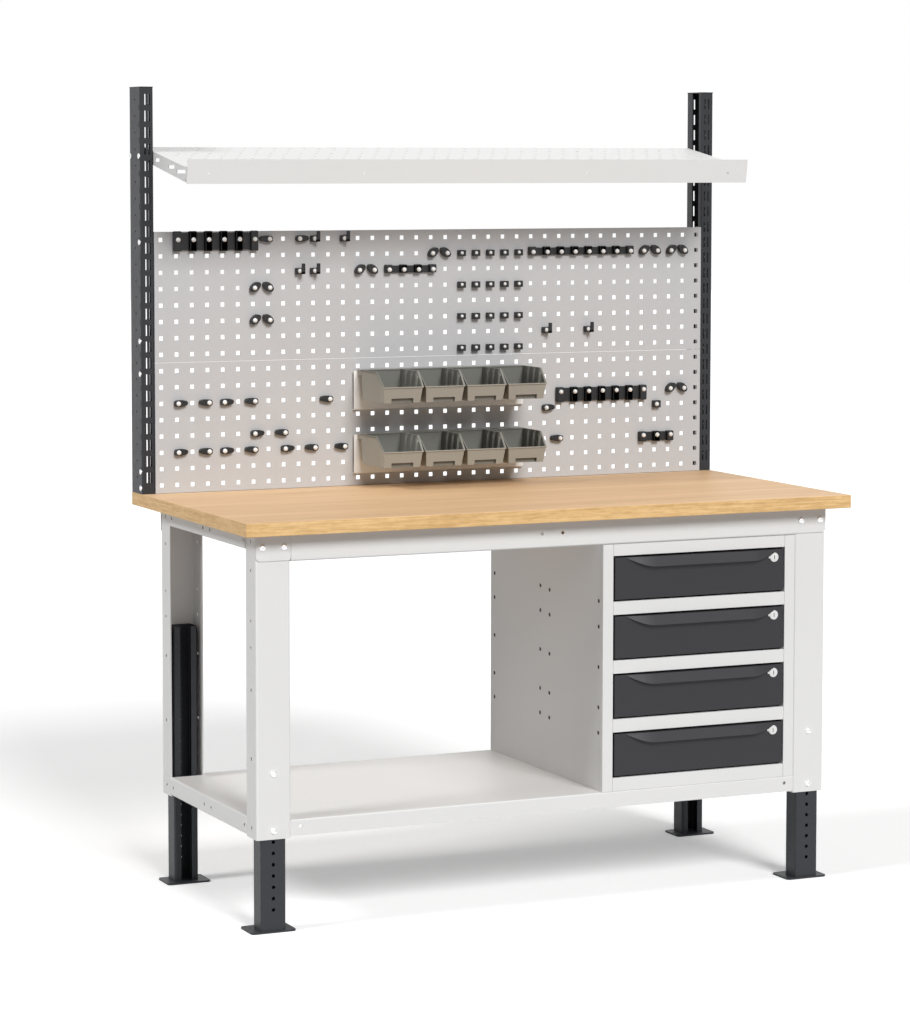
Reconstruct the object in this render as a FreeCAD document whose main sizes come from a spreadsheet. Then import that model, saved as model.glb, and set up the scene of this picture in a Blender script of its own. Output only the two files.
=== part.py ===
import FreeCAD, Part
import os
import re
import Sketcher

# Steel workbench with a wooden top, four height-adjustable feet, a four-drawer cabinet,
# two perforated back panels with storage bins, and a sloping upper shelf.
# Frame: X to the right, Y to the back, Z up. The origin is on the floor under the middle.
# The front of the bench is at negative Y.

Vector = FreeCAD.Vector
Rotation = FreeCAD.Rotation
Z_AXIS = Vector(0, 0, 1)
X_AXIS = Vector(1, 0, 0)

# Driving dimensions in millimetres: alias, value, meaning.
SIZES = [
    ("top_length", 1500, "worktop, left to right"),
    ("top_depth", 750, "worktop, front to back"),
    ("top_thick", 30, "worktop board"),
    ("top_height", 905, "floor to the working surface"),
    ("side_over", 40, "worktop past the frame at each side"),
    ("front_over", 50, "worktop past the frame at the front"),
    ("rear_over", 90, "worktop past the frame at the back"),
    ("steel", 2.5, "sheet of the legs, beams and rails"),
    ("leg_width", 80, "leg channel, across"),
    ("leg_deep", 60, "leg channel, front to back"),
    ("leg_bottom", 206, "lower end of the leg channel"),
    ("beam_tall", 59, "front and rear beam"),
    ("beam_flange", 40, "flanges of the beams"),
    ("beam_corner", 4, "cut lower corners of the beam's end plates"),
    ("beam_play", 0.5, "between a beam's flanges and a leg"),
    ("rail_tall", 35, "upper side rail"),
    ("rail_flange", 25, "flanges of the side rails"),
    ("rail_tab", 20, "end tab that is bolted behind the leg"),
    ("low_rail_bottom", 212.5, "underside of the lower side rail"),
    ("low_rail_tall", 36, "lower side rail"),
    ("low_rail_shelf", 80, "top flange of the lower side rail, which carries the deck's end"),
    ("foot_width", 58.5, "foot channel, across"),
    ("foot_deep", 48, "foot channel, front to back"),
    ("foot_lip", 16, "lips of the foot channel"),
    ("foot_top", 600, "upper end of the foot channel"),
    ("foot_gap", 0.4, "play between the foot and the leg"),
    ("plate_width", 105, "foot plate, across"),
    ("plate_deep", 75, "foot plate, front to back"),
    ("plate_thick", 4, "foot plate"),
    ("plate_corner", 9, "cut corners of the foot plate"),
    ("plate_ahead", 5, "foot plate past the foot channel's web"),
    ("bolt_low", 225, "lower height bolt above the floor"),
    ("bolt_high", 350, "upper height bolt above the floor"),
    ("bolt_head", 8, "radius of a button head"),
    ("bolt_proud", 4.5, "height of a button head"),
    ("beam_bolt_out", 15, "outer beam bolt from the frame's side"),
    ("beam_bolt_gap", 50, "between the two bolts of a beam's end"),
    ("deck_bottom", 210, "lower edge of the lower shelf"),
    ("deck_top", 246, "surface of the lower shelf"),
    ("deck_deep", 600, "lower shelf, front to back"),
    ("deck_sheet", 1.5, "sheet of the lower shelf"),
    ("cab_centre", 380, "middle of the cabinet from the bench's middle"),
    ("cab_width", 499, "cabinet, across"),
    ("cab_deep", 600, "cabinet, front to back"),
    ("cab_tall", 567.5, "cabinet"),
    ("cab_sheet", 1.2, "sheet of the cabinet and its slides"),
    ("face_deep", 15, "stiles and rails of the face frame, front to back"),
    ("face_sheet", 1.5, "sheet of the stiles and rails"),
    ("open_width", 446.5, "drawer opening"),
    ("open_tall", 104.5, "drawer opening"),
    ("open_pitch", 134.7, "one drawer opening to the next"),
    ("open_first", 785.5, "top of the highest drawer opening"),
    ("post_wide", 30, "post that carries the slides, front to back"),
    ("post_place", 45, "middle of a post from the nearer end of the slides"),
    ("front_gap", 2.5, "gap round a drawer front"),
    ("front_deep", 20, "folded drawer front, front to back"),
    ("front_sheet", 1.5, "sheet of a drawer front"),
    ("lip_out", 14, "pull lip ahead of the drawer front"),
    ("lip_drop", 27, "lower edge of the pull lip below the opening's top"),
    ("lip_half", 185, "half of the pull lip along its upper edge"),
    ("lip_flat", 124, "half of the straight part of its lower edge"),
    ("lip_corner", 14, "cut corner where the straight part ends"),
    ("box_long", 520, "drawer box, front to back"),
    ("box_low", 8, "drawer box above the opening's lower edge"),
    ("box_tall", 84, "sides of the drawer box"),
    ("box_front", 52, "front wall of the drawer box, below the lock"),
    ("slide_thick", 14, "a telescopic slide, from post to drawer box"),
    ("slide_tall", 36, "outer member of a slide"),
    ("slide_long", 500, "each member of a slide"),
    ("slide_level", 45, "middle of the slide above the opening's lower edge"),
    ("slide_play", 0.6, "between the members of a slide"),
    ("slide_lip", 6, "flanges of the slide's channels"),
    ("slide_beside", 1.5, "slides outside the opening, at each side"),
    ("slide_behind", 2, "slides behind the drawer front"),
    ("lock_across", 193.5, "lock from the middle of the drawer front"),
    ("lock_down", 22.5, "lock below the opening's top"),
    ("lock_radius", 11, "face of the lock"),
    ("lock_proud", 4, "face of the lock ahead of the drawer front"),
    ("barrel_radius", 8.5, "barrel of the lock"),
    ("barrel_flat", 6.5, "from the lock's axis to each of the barrel's four flats"),
    ("barrel_room", 1.2, "lock hole in a drawer front past the barrel's radius"),
    ("cam_long", 32, "cam from the lock's axis to its tip"),
    ("cam_wide", 12, "cam, across"),
    ("cam_thick", 2, "cam"),
    ("barrel_past", 4, "barrel of the lock behind the drawer front"),
    ("upright_wide", 32, "upright channel, left to right"),
    ("upright_deep", 75, "upright channel, front to back"),
    ("upright_tall", 942, "upright above the worktop"),
    ("upright_lip", 28, "wide lip of the upright channel, at the left upright's front"),
    ("upright_short_lip", 14, "narrow lip of the upright channel"),
    ("upright_sheet", 2, "sheet of the uprights and shelf arms"),
    ("panel_ahead", 3, "panel's face ahead of the uprights"),
    ("panel_tall", 304, "one perforated panel"),
    ("panel_sheet", 1.2, "sheet of the panels"),
    ("panel_flange", 12, "upper and lower flange of a panel"),
    ("panel_side", 25, "side flange of a panel, bolted to the upright"),
    ("hole_size", 10, "side of a square hole"),
    ("hole_pitch", 38, "one hole to the next"),
    ("hole_columns", 38, "holes along a panel"),
    ("hole_rows", 8, "holes up a panel"),
    ("hole_edge", 19, "middle of the lowest row above the panel's lower edge"),
    ("shelf_front", 71, "front edge of the upper shelf's surface, along Y"),
    ("shelf_height", 1661, "front edge of the upper shelf's surface above the floor"),
    ("shelf_deep", 303, "upper shelf along its slope"),
    ("shelf_tilt", 9.1, "slope of the upper shelf in degrees, down to the front"),
    ("shelf_sheet", 1.5, "sheet of the upper shelf"),
    ("shelf_play", 0.2, "between the shelf and an arm"),
    ("fascia_up", 20, "fascia above the shelf's surface"),
    ("fascia_down", 36, "fascia below the shelf's surface"),
    ("arm_front", 34, "depth of a shelf arm at its front end"),
    ("arm_rear", 30, "depth of a shelf arm at its rear end"),
    ("arm_slot", 8, "height of the slots in the shelf arms"),
    ("bin_pitch", 107.4, "one storage bin to the next"),
    ("bin_long", 151.5, "storage bin's floor, front to back"),
    ("bin_tall", 72, "storage bin at its back"),
    ("bin_back_wide", 104, "storage bin's back, at the rim"),
    ("bin_front_wide", 100.7, "storage bin's front, at the rim"),
    ("bin_draft", 5, "how much narrower a bin is at its floor"),
    ("bin_lean", 9, "lower edge of a bin's front wall behind its upper edge"),
    ("bin_ledge", 20, "ledge from a bin's back wall to its hook, at the rim"),
    ("bin_front_tall", 38, "front wall of a bin"),
    ("bin_slope", 36, "slanted part of a bin's side, along Y"),
    ("bin_wall", 2, "walls of a bin"),
    ("bin_hook_wide", 60, "hook behind a bin"),
    ("bin_hook_deep", 9, "how far the hook reaches down behind the rail"),
    ("hook_sheet", 1.8, "wall of the hook behind a bin"),
    ("hook_top", 3, "bridge of the hook, up and down"),
    ("rail_slack", 0.5, "play between a bin and its rail"),
    ("rail_ahead", 8, "bin rail ahead of the panel's face"),
    ("rail_long", 446, "bin rail, left to right"),
    ("rail_height", 91.7, "plate of a bin rail"),
    ("rail_upper", 1088, "lower edge of the upper bin rail"),
    ("rail_lower", 936, "lower edge of the lower bin rail"),
    ("bin_lift", 23, "floor of a bin above the rail's lower edge"),
    ("bar_deep", 16, "bar of holders, out from the panel"),
    ("bar_tall", 18, "bar of holders, up and down"),
    ("bar_past", 8, "bar of holders past its end screws"),
    ("clip_wide", 14, "single clip, across and out from the panel"),
    ("clip_tall", 18, "single clip, up and down"),
    ("peg_wide", 30, "peg block, across"),
    ("peg_tall", 14, "peg block, up and down and out from the panel"),
    ("peg_past", 6, "peg block to the left of its screw"),
]

doc = FreeCAD.newDocument("workbench")
sheet = doc.addObject("Spreadsheet::Sheet", "sizes")
for row, (alias, number, meaning) in enumerate(SIZES, start=1):
    sheet.set("A%d" % row, str(number))
    sheet.setAlias("A%d" % row, alias)
    sheet.set("B%d" % row, meaning)
doc.recompute()

ALIASES = {alias for alias, number, meaning in SIZES}


def cells(text):
    """An expression in which each alias reads its cell of the sheet."""
    text = str(text)
    return re.sub(r"[a-z_]+", lambda m: "sizes." + m.group(0) if m.group(0) in ALIASES else m.group(0), text)


def value(text):
    """The number that such an expression gives now."""
    return float(sheet.evalExpression(cells(text)))


nodes = []


def node(shape_object, name, at=("0", "0", "0"), turn=0, tilt="0"):
    """Label a finished sub-part and place it; a turn is about Z, a tilt about X, in degrees."""
    shape_object.Label = name
    rotation = Rotation(Z_AXIS, turn).multiply(Rotation(X_AXIS, value(tilt)))
    shape_object.Placement = FreeCAD.Placement(Vector(*[value(a) for a in at]), rotation)
    for axis, text in zip("xyz", at):
        shape_object.setExpression("Placement.Base." + axis, cells(text))
    nodes.append(shape_object)
    return shape_object


def new_body(name):
    return doc.addObject("PartDesign::Body", name + "_body")


def outline(body, plane, loops, offset="0"):
    """A sketch of closed outlines; every corner is held by two expressions from the sheet."""
    sketch = body.newObject("Sketcher::SketchObject", "outline")
    origin_plane = [o for o in body.Origin.OriginFeatures if o.Role == plane][0]
    sketch.AttachmentSupport = [(origin_plane, "")]
    sketch.MapMode = "FlatFace"
    sketch.setExpression("AttachmentOffset.Base.z", cells(offset))
    for corners in loops:
        first = sketch.GeometryCount
        count = len(corners)
        points = [Vector(value(x), value(y), 0) for x, y in corners]
        for i in range(count):
            sketch.addGeometry(Part.LineSegment(points[i], points[(i + 1) % count]), False)
        for i in range(count):
            sketch.addConstraint(Sketcher.Constraint("Coincident", first + i, 2, first + (i + 1) % count, 1))
        for i, (x, y) in enumerate(corners):
            across = sketch.addConstraint(Sketcher.Constraint("DistanceX", -1, 1, first + i, 1, points[i].x))
            sketch.setExpression("Constraints[%d]" % across, cells(x))
            along = sketch.addConstraint(Sketcher.Constraint("DistanceY", -1, 1, first + i, 1, points[i].y))
            sketch.setExpression("Constraints[%d]" % along, cells(y))
    return sketch


def rectangle(x0, y0, x1, y1):
    return [(x0, y0), (x1, y0), (x1, y1), (x0, y1)]


def pad(body, sketch, length, both_ways=False, backwards=False):
    """Extrude an outline; the sketch's own normal is the way unless it goes backwards."""
    feature = body.newObject("PartDesign::Pad", "pad")
    feature.Profile = sketch
    feature.setExpression("Length", cells(length))
    feature.Reversed = backwards
    if both_ways:
        feature.SideType = "Symmetric"
    sketch.Visibility = False
    doc.recompute()
    return feature


def pocket(body, sketch, length=None, backwards=False):
    """Cut an outline out of the body, right through both ways if no length is given."""
    before = body.Shape.Volume
    feature = body.newObject("PartDesign::Pocket", "pocket")
    feature.Profile = sketch
    if length is None:
        feature.Type = "ThroughAll"
        feature.SideType = "Symmetric"
    else:
        feature.setExpression("Length", cells(length))
        feature.Reversed = backwards
    doc.recompute()
    if body.Shape.Volume > before - 1e-3:
        raise RuntimeError("a pocket in %s cuts nothing" % body.Name)
    return feature


def cut_corners(body, size, chosen):
    """Chamfer those edges of the body for which chosen(edge) is true."""
    tip = body.Tip
    names = ["Edge%d" % (i + 1) for i, edge in enumerate(tip.Shape.Edges) if chosen(edge)]
    feature = body.newObject("PartDesign::Chamfer", "chamfer")
    feature.Base = (tip, names)
    feature.setExpression("Size", cells(size))
    doc.recompute()
    return feature


def box(name, size, at=("0", "0", "0")):
    """A Part box whose size and place are bound to the sheet."""
    solid = doc.addObject("Part::Box", name)
    for side, text in zip(("Length", "Width", "Height"), size):
        solid.setExpression(side, cells(text))
    for axis, text in zip("xyz", at):
        solid.setExpression("Placement.Base." + axis, cells(text))
    return solid


def cut(name, base, tool):
    solid = doc.addObject("Part::Cut", name)
    solid.Base = base
    solid.Tool = tool
    return solid


def group(name, solids):
    together = doc.addObject("Part::Compound", name)
    together.Links = solids
    return together


SIDES = (("left", -1), ("right", 1))
ENDS = (("front", "-top_depth / 2 + front_over", 0), ("rear", "top_depth / 2 - rear_over", 180))
FRAME_HALF = "(top_length / 2 - side_over)"
FRAME_MID = "((front_over - rear_over) / 2)"
FRAME_DEEP = "(top_depth - front_over - rear_over)"
BOARD_BOTTOM = "(top_height - top_thick)"


# Worktop: one board of glued beech plies with lightly broken upright corners.
def worktop():
    body = new_body("worktop")
    half_x, half_y = "top_length / 2", "top_depth / 2"
    sketch = outline(body, "XY_Plane", [rectangle("-" + half_x, "-" + half_y, half_x, half_y)])
    pad(body, sketch, "top_thick")
    node(body, "worktop", at=("0", "0", BOARD_BOTTOM))


# Legs: folded channels with the web to the outside and the open side under the bench.
def leg(side, sign, end, face, turn):
    body = new_body("leg")
    half = "leg_width / 2"
    channel = [
        ("-" + half, "0"), (half, "0"), (half, "leg_deep"), (half + " - steel", "leg_deep"),
        (half + " - steel", "steel"), ("-" + half + " + steel", "steel"),
        ("-" + half + " + steel", "leg_deep"), ("-" + half, "leg_deep"),
    ]
    pad(body, outline(body, "XY_Plane", [channel]), BOARD_BOTTOM + " - leg_bottom")
    across = "%d * (%s - leg_width / 2)" % (sign, FRAME_HALF)
    node(body, "leg_%s_%s" % (end, side), at=(across, face, "leg_bottom"), turn=turn)


# Feet: lipped channels that slide inside the legs, each welded to a plate on the floor.
def foot(side, sign, end, face, turn):
    body = new_body("foot")
    half = "plate_width / 2"
    plate = rectangle("-" + half, "-plate_ahead", half, "plate_deep - plate_ahead")
    pad(body, outline(body, "XY_Plane", [plate]), "plate_thick")
    thick = value("plate_thick")
    cut_corners(body, "plate_corner", lambda e: abs(e.BoundBox.ZLength - thick) < 1e-6)
    wide = "foot_width / 2"
    lipped = [
        ("-" + wide, "0"), (wide, "0"), (wide, "foot_deep"), (wide + " - foot_lip", "foot_deep"),
        (wide + " - foot_lip", "foot_deep - steel"), (wide + " - steel", "foot_deep - steel"),
        (wide + " - steel", "steel"), ("-" + wide + " + steel", "steel"),
        ("-" + wide + " + steel", "foot_deep - steel"), ("-" + wide + " + foot_lip", "foot_deep - steel"),
        ("-" + wide + " + foot_lip", "foot_deep"), ("-" + wide, "foot_deep"),
    ]
    pad(body, outline(body, "XY_Plane", [lipped]), "foot_top")
    across = "%d * (%s - leg_width / 2)" % (sign, FRAME_HALF)
    inward = "%s %s (steel + foot_gap)" % (face, "+" if turn == 0 else "-")
    node(body, "foot_%s_%s" % (end, side), at=(across, inward, "0"), turn=turn)


# Beams: channels between the legs whose web runs on in front of the legs, where it is bolted.
def beam(end, face, turn):
    body = new_body("beam")
    profile = [
        ("-steel", "0"), ("beam_flange", "0"), ("beam_flange", "steel"), ("0", "steel"),
        ("0", "beam_tall - steel"), ("beam_flange", "beam_tall - steel"), ("beam_flange", "beam_tall"),
        ("-steel", "beam_tall"),
    ]
    between = "2 * (%s - leg_width - beam_play)" % FRAME_HALF
    pad(body, outline(body, "YZ_Plane", [profile]), between, both_ways=True)
    web = rectangle("-" + FRAME_HALF, "0", FRAME_HALF, "beam_tall")
    pad(body, outline(body, "XZ_Plane", [web]), "steel")
    half = value(FRAME_HALF)

    def lower_corner(edge):
        at_end = abs(abs(edge.CenterOfMass.x) - half) < 1e-6
        return at_end and edge.BoundBox.ZMax < 1e-6 and edge.BoundBox.YLength > 1e-6

    cut_corners(body, "beam_corner", lower_corner)
    node(body, "beam_" + end, at=("0", face, BOARD_BOTTOM + " - beam_tall"), turn=turn)


# Side rails: channels flush with the legs' sides, with tabs that are bolted behind the legs.
def side_rail(name, sign, bottom, tall, top_flange):
    body = new_body("side_rail")
    profile = [
        ("0", "0"), ("rail_flange", "0"), ("rail_flange", "steel"), ("steel", "steel"),
        ("steel", tall + " - steel"), (top_flange, tall + " - steel"), (top_flange, tall), ("0", tall),
    ]
    between = "%s - 2 * leg_deep" % FRAME_DEEP
    pad(body, outline(body, "XZ_Plane", [profile]), between, both_ways=True)
    tab = rectangle("steel", "0", "2 * steel", tall + " - steel")
    pad(body, outline(body, "XZ_Plane", [tab]), between + " + 2 * rail_tab", both_ways=True)
    turn = 0 if sign < 0 else 180
    node(body, name, at=("%d * %s" % (sign, FRAME_HALF), FRAME_MID, bottom), turn=turn)


# Lower shelf: one folded tray upside down, between the inner faces of the legs.
def lower_shelf():
    body = new_body("lower_shelf")
    tall = "(deck_top - deck_bottom)"
    profile = [
        ("0", "0"), ("deck_sheet", "0"), ("deck_sheet", tall + " - deck_sheet"),
        ("deck_deep - deck_sheet", tall + " - deck_sheet"), ("deck_deep - deck_sheet", "0"),
        ("deck_deep", "0"), ("deck_deep", tall), ("0", tall),
    ]
    between = "2 * (%s - leg_width)" % FRAME_HALF
    pad(body, outline(body, "YZ_Plane", [profile]), between, both_ways=True)
    node(body, "lower_shelf", at=("0", ENDS[0][1], "deck_bottom"))


# Cabinet: a shell open to the front, a face frame round the four openings, and four posts
# inside that carry the drawer slides.
def drawer_floor(number):
    """Lower edge of a drawer's opening, counted from the top."""
    return "(open_first - open_tall - %d * open_pitch)" % (number - 1)


def cabinet_shell():
    front = "-top_depth / 2 + front_over + face_deep"
    left = "cab_centre - cab_width / 2"
    depth = "(cab_deep - face_deep)"
    outside = box("shell_outside", ("cab_width", depth, "cab_tall"), (left, front, "deck_top"))
    hollow_size = ("cab_width - 2 * cab_sheet", depth, "cab_tall - 2 * cab_sheet")
    hollow_at = (left + " + cab_sheet", front + " - cab_sheet", "deck_top + cab_sheet")
    hollow = box("shell_hollow", hollow_size, hollow_at)
    node(cut("cabinet_shell_cut", outside, hollow), "cabinet_shell")


def face_channel(kind, wide, length, at):
    """A stile or rail of the face frame: a channel that shows its web and is open to the back."""
    body = new_body(kind)
    section = [
        ("0", "0"), (wide, "0"), (wide, "face_deep"), (wide + " - face_sheet", "face_deep"),
        (wide + " - face_sheet", "face_sheet"), ("face_sheet", "face_sheet"), ("face_sheet", "face_deep"),
        ("0", "face_deep"),
    ]
    if kind == "stile":
        pad(body, outline(body, "XY_Plane", [section]), length)
    else:
        turned = [(deep, across) for across, deep in section]
        pad(body, outline(body, "YZ_Plane", [turned]), length)
    body.Placement = FreeCAD.Placement()
    for axis, text in zip("xyz", at):
        body.setExpression("Placement.Base." + axis, cells(text))
    return body


def face_frame():
    """Two stiles from top to bottom, and five rails between them above and below the drawers."""
    stile = "((cab_width - open_width) / 2)"
    outside, inside = "cab_centre - cab_width / 2", "cab_centre - open_width / 2"
    front = ENDS[0][1]
    channels = [
        face_channel("stile", stile, "cab_tall", (outside, front, "deck_top")),
        face_channel("stile", stile, "cab_tall", ("cab_centre + open_width / 2", front, "deck_top")),
    ]
    upper = "(deck_top + cab_tall)"
    for number in range(1, 6):
        lower = "(%s + open_tall)" % drawer_floor(number) if number < 5 else "deck_top"
        channels.append(face_channel("rail", "(%s - %s)" % (upper, lower), "open_width", (inside, front, lower)))
        upper = drawer_floor(number)
    node(group("face_frame_group", channels), "cabinet_face_frame")


def slide_posts():
    posts = []
    outer = "(cab_width / 2 - cab_sheet)"
    width = "(%s - open_width / 2 - slide_beside)" % outer
    slot = "(cab_tall - 2 * cab_sheet)"
    for side, sign in SIDES:
        for place in ("post_place", "slide_long - post_place"):
            body = new_body("post")
            across = "%d * (%s - %s / 2)" % (sign, outer, width)
            half = "(%s / 2)" % width
            web, tips = ("-1 * ", "") if sign > 0 else ("", "-1 * ")
            thin = "- cab_sheet"
            section = [
                (web + half, "0"), (tips + half, "0"), (tips + half, "cab_sheet"),
                (web + "(%s %s)" % (half, thin), "cab_sheet"),
                (web + "(%s %s)" % (half, thin), "post_wide - cab_sheet"),
                (tips + half, "post_wide - cab_sheet"), (tips + half, "post_wide"), (web + half, "post_wide"),
            ]
            pad(body, outline(body, "XY_Plane", [section]), slot)
            body.Placement = FreeCAD.Placement()
            along = SLIDE_FRONT + " + %s - post_wide / 2" % place
            at = ("cab_centre + " + across, along, "deck_top + cab_sheet")
            for axis, text in zip("xyz", at):
                body.setExpression("Placement.Base." + axis, cells(text))
            posts.append(body)
    node(group("slide_posts_group", posts), "slide_posts")


# Telescopic slides: an outer channel on the posts, a middle channel that runs in it and out half
# as far as the drawer, and an inner channel on the drawer box that runs on the middle one.
SLIDE_FRONT = "(-top_depth / 2 + front_over + front_deep + slide_behind)"
SLIDE_HALF = "(open_width / 2 + slide_beside)"


def slide_member(profile, sign, number):
    """One rolled member: an outline across the slide, extruded along it."""
    body = new_body("slide_member")
    corners = [("%d * (%s)" % (sign, x), z) for x, z in profile]
    pad(body, outline(body, "XZ_Plane", [corners]), "slide_long", backwards=True)
    body.Placement = FreeCAD.Placement()
    at = ("cab_centre", SLIDE_FRONT, drawer_floor(number) + " + slide_level")
    for axis, text in zip("xyz", at):
        body.setExpression("Placement.Base." + axis, cells(text))
    return body


def open_channel(web, tips, tall):
    """Section of a channel whose web is at one distance and whose flanges reach to another."""
    inner_web = web + (" - cab_sheet" if tips[1] == "in" else " + cab_sheet")
    reach = tips[0]
    return [
        (web, "-" + tall), (reach, "-" + tall), (reach, "-" + tall + " + cab_sheet"),
        (inner_web, "-" + tall + " + cab_sheet"), (inner_web, tall + " - cab_sheet"),
        (reach, tall + " - cab_sheet"), (reach, tall), (web, tall),
    ]


def slide_outer():
    tips = (SLIDE_HALF + " - slide_lip", "in")
    profile = open_channel(SLIDE_HALF, tips, "slide_tall / 2")
    members = [slide_member(profile, sign, n) for n in range(1, 5) for side, sign in SIDES]
    node(group("slide_outer_group", members), "slide_outer")


def slide_middle(number):
    outside = "(%s - cab_sheet - slide_play)" % SLIDE_HALF
    inside = "(%s - slide_thick + cab_sheet + slide_play)" % SLIDE_HALF
    tall = "(slide_tall / 2 - cab_sheet - slide_play)"
    profile = open_channel(outside, (inside, "in"), tall)
    members = [slide_member(profile, sign, number) for side, sign in SIDES]
    node(group("slide_middle_group", members), "slide_middle_%d" % number)


def slide_inner(number):
    web = "(%s - slide_thick)" % SLIDE_HALF
    profile = open_channel(web, (web + " + slide_lip", "out"), "slide_tall / 2")
    members = [slide_member(profile, sign, number) for side, sign in SIDES]
    node(group("slide_inner_group", members), "slide_inner_%d" % number)


# Drawers: an open steel box, a folded front with a pull lip along its upper edge, and a lock
# whose cam swings up behind the rail above.
BOX_FRONT = "(-top_depth / 2 + front_over + front_deep)"


def drawer_box(number):
    body = new_body("drawer_box")
    half = "(%s - slide_thick)" % SLIDE_HALF
    pad(body, outline(body, "XY_Plane", [rectangle("-" + half, "0", half, "box_long")]), "box_tall")
    inner = half + " - cab_sheet"
    hollow = rectangle("-" + inner, "cab_sheet", inner, "box_long - cab_sheet")
    pocket(body, outline(body, "XY_Plane", [hollow], offset="cab_sheet"), "box_tall", backwards=True)
    notch = rectangle("-" + inner, "-1", inner, "2 * cab_sheet")
    pocket(body, outline(body, "XY_Plane", [notch], offset="box_front"), "box_tall", backwards=True)
    node(body, "drawer_box_%d" % number, at=("cab_centre", BOX_FRONT, drawer_floor(number) + " + box_low"))


def lip_sheet(high):
    """The slanted sheet of a pull lip, from the front's upper edge down and forward."""
    body = new_body("lip_sheet")
    section = [
        ("0", high + " - front_sheet"), ("0", high), ("-lip_out", "open_tall - lip_drop"),
        ("-lip_out + front_sheet", "open_tall - lip_drop"),
    ]
    pad(body, outline(body, "YZ_Plane", [section]), "2 * lip_half", both_ways=True)
    return body


def lip_outline(high):
    """The pull lip as seen from the front: straight below, swept up at both ends."""
    body = new_body("lip_outline")
    low = "open_tall - lip_drop"
    shape = [
        ("-lip_half", high + " - front_sheet"), ("-lip_flat", low), ("lip_flat", low),
        ("lip_half", high + " - front_sheet"), ("lip_half", high), ("-lip_half", high),
    ]
    pad(body, outline(body, "XZ_Plane", [shape]), "2 * lip_out")
    flat = value("lip_flat")

    def lower_corner(edge):
        along_y = edge.BoundBox.YLength > 1 and edge.BoundBox.XLength < 1e-6
        return along_y and abs(abs(edge.CenterOfMass.x) - flat) < 1e-3

    cut_corners(body, "lip_corner", lower_corner)
    return body


def drawer_front(number):
    body = new_body("drawer_front")
    half = "(open_width / 2 - front_gap)"
    low, high = "front_gap", "open_tall - front_gap"
    pad(body, outline(body, "XZ_Plane", [rectangle("-" + half, low, half, high)]), "front_deep", backwards=True)
    inner = half + " - front_sheet"
    hollow = rectangle("-" + inner, low + " + front_sheet", inner, high + " - front_sheet")
    pocket(body, outline(body, "XZ_Plane", [hollow], offset="-front_sheet"), "front_deep")
    lip = doc.addObject("Part::Common", "pull_lip")
    lip.Base = lip_sheet(high)
    lip.Tool = lip_outline(high)
    folded = doc.addObject("Part::MultiFuse", "front_and_lip")
    folded.Shapes = [body, lip]
    key = doc.addObject("Part::Prism", "lock_hole")
    key.Polygon = 8
    key.setExpression("Circumradius", cells("barrel_radius + barrel_room"))
    key.setExpression("Height", cells("2 * front_sheet"))
    key.Placement = FreeCAD.Placement(Vector(), Rotation(X_AXIS, -90))
    hole_at = ("lock_across", "-front_sheet / 2", "open_tall - lock_down")
    for axis, text in zip("xyz", hole_at):
        key.setExpression("Placement.Base." + axis, cells(text))
    front = cut("drawer_front_cut", folded, key)
    node(front, "drawer_front_%d" % number, at=("cab_centre", ENDS[0][1], drawer_floor(number)))


def lock(number):
    face = doc.addObject("Part::Prism", "lock_face")
    face.Polygon = 12
    face.setExpression("Circumradius", cells("lock_radius"))
    face.setExpression("Height", cells("lock_proud"))
    rod = doc.addObject("Part::Cylinder", "lock_rod")
    rod.setExpression("Radius", cells("barrel_radius"))
    rod.setExpression("Height", cells("front_deep + barrel_past"))
    for piece, start in ((face, "-lock_proud"), (rod, "0")):
        piece.Placement = FreeCAD.Placement(Vector(), Rotation(X_AXIS, -90))
        piece.setExpression("Placement.Base.y", cells(start))
    flat_size = ("2 * barrel_flat", "front_deep + barrel_past", "2 * barrel_flat")
    flats = box("lock_flats", flat_size, ("-barrel_flat", "0", "-barrel_flat"))
    barrel = doc.addObject("Part::Common", "lock_barrel")
    barrel.Base = rod
    barrel.Tool = flats
    pieces = [face, barrel]
    cam_size = ("cam_long + cam_wide / 2", "cam_thick", "cam_wide")
    pieces.append(box("lock_cam", cam_size, ("-cam_long", "front_deep + barrel_past", "-cam_wide / 2")))
    whole = doc.addObject("Part::MultiFuse", "lock_fuse")
    whole.Shapes = pieces
    at = ("cab_centre + lock_across", ENDS[0][1], drawer_floor(number) + " + open_tall - lock_down")
    node(whole, "lock_%d" % number, at=at)


# Uprights: lipped channels on the back of the worktop, open towards each other. Both are one
# part with a wide and a narrow lip, and the right one is the left one turned half round.
UPRIGHT_FRONT = "(top_depth / 2 - upright_deep)"


def upright(side, sign):
    body = new_body("upright")
    half = "upright_deep / 2"
    lipped = [
        ("0", "-" + half), ("upright_wide", "-" + half), ("upright_wide", "-" + half + " + upright_lip"),
        ("upright_wide - upright_sheet", "-" + half + " + upright_lip"),
        ("upright_wide - upright_sheet", "-" + half + " + upright_sheet"),
        ("upright_sheet", "-" + half + " + upright_sheet"), ("upright_sheet", half + " - upright_sheet"),
        ("upright_wide - upright_sheet", half + " - upright_sheet"),
        ("upright_wide - upright_sheet", half + " - upright_short_lip"),
        ("upright_wide", half + " - upright_short_lip"),
        ("upright_wide", half), ("0", half),
    ]
    pad(body, outline(body, "XY_Plane", [lipped]), "upright_tall")
    at = ("%d * top_length / 2" % sign, "top_depth / 2 - upright_deep / 2", "top_height")
    node(body, "upright_" + side, at=at, turn=0 if sign < 0 else 180)


# Perforated panels: folded pans between the uprights, with a square grid of square holes.
PANEL_HALF = "(top_length / 2 - upright_wide)"
PANEL_FACE = "(%s - panel_ahead)" % UPRIGHT_FRONT


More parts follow.
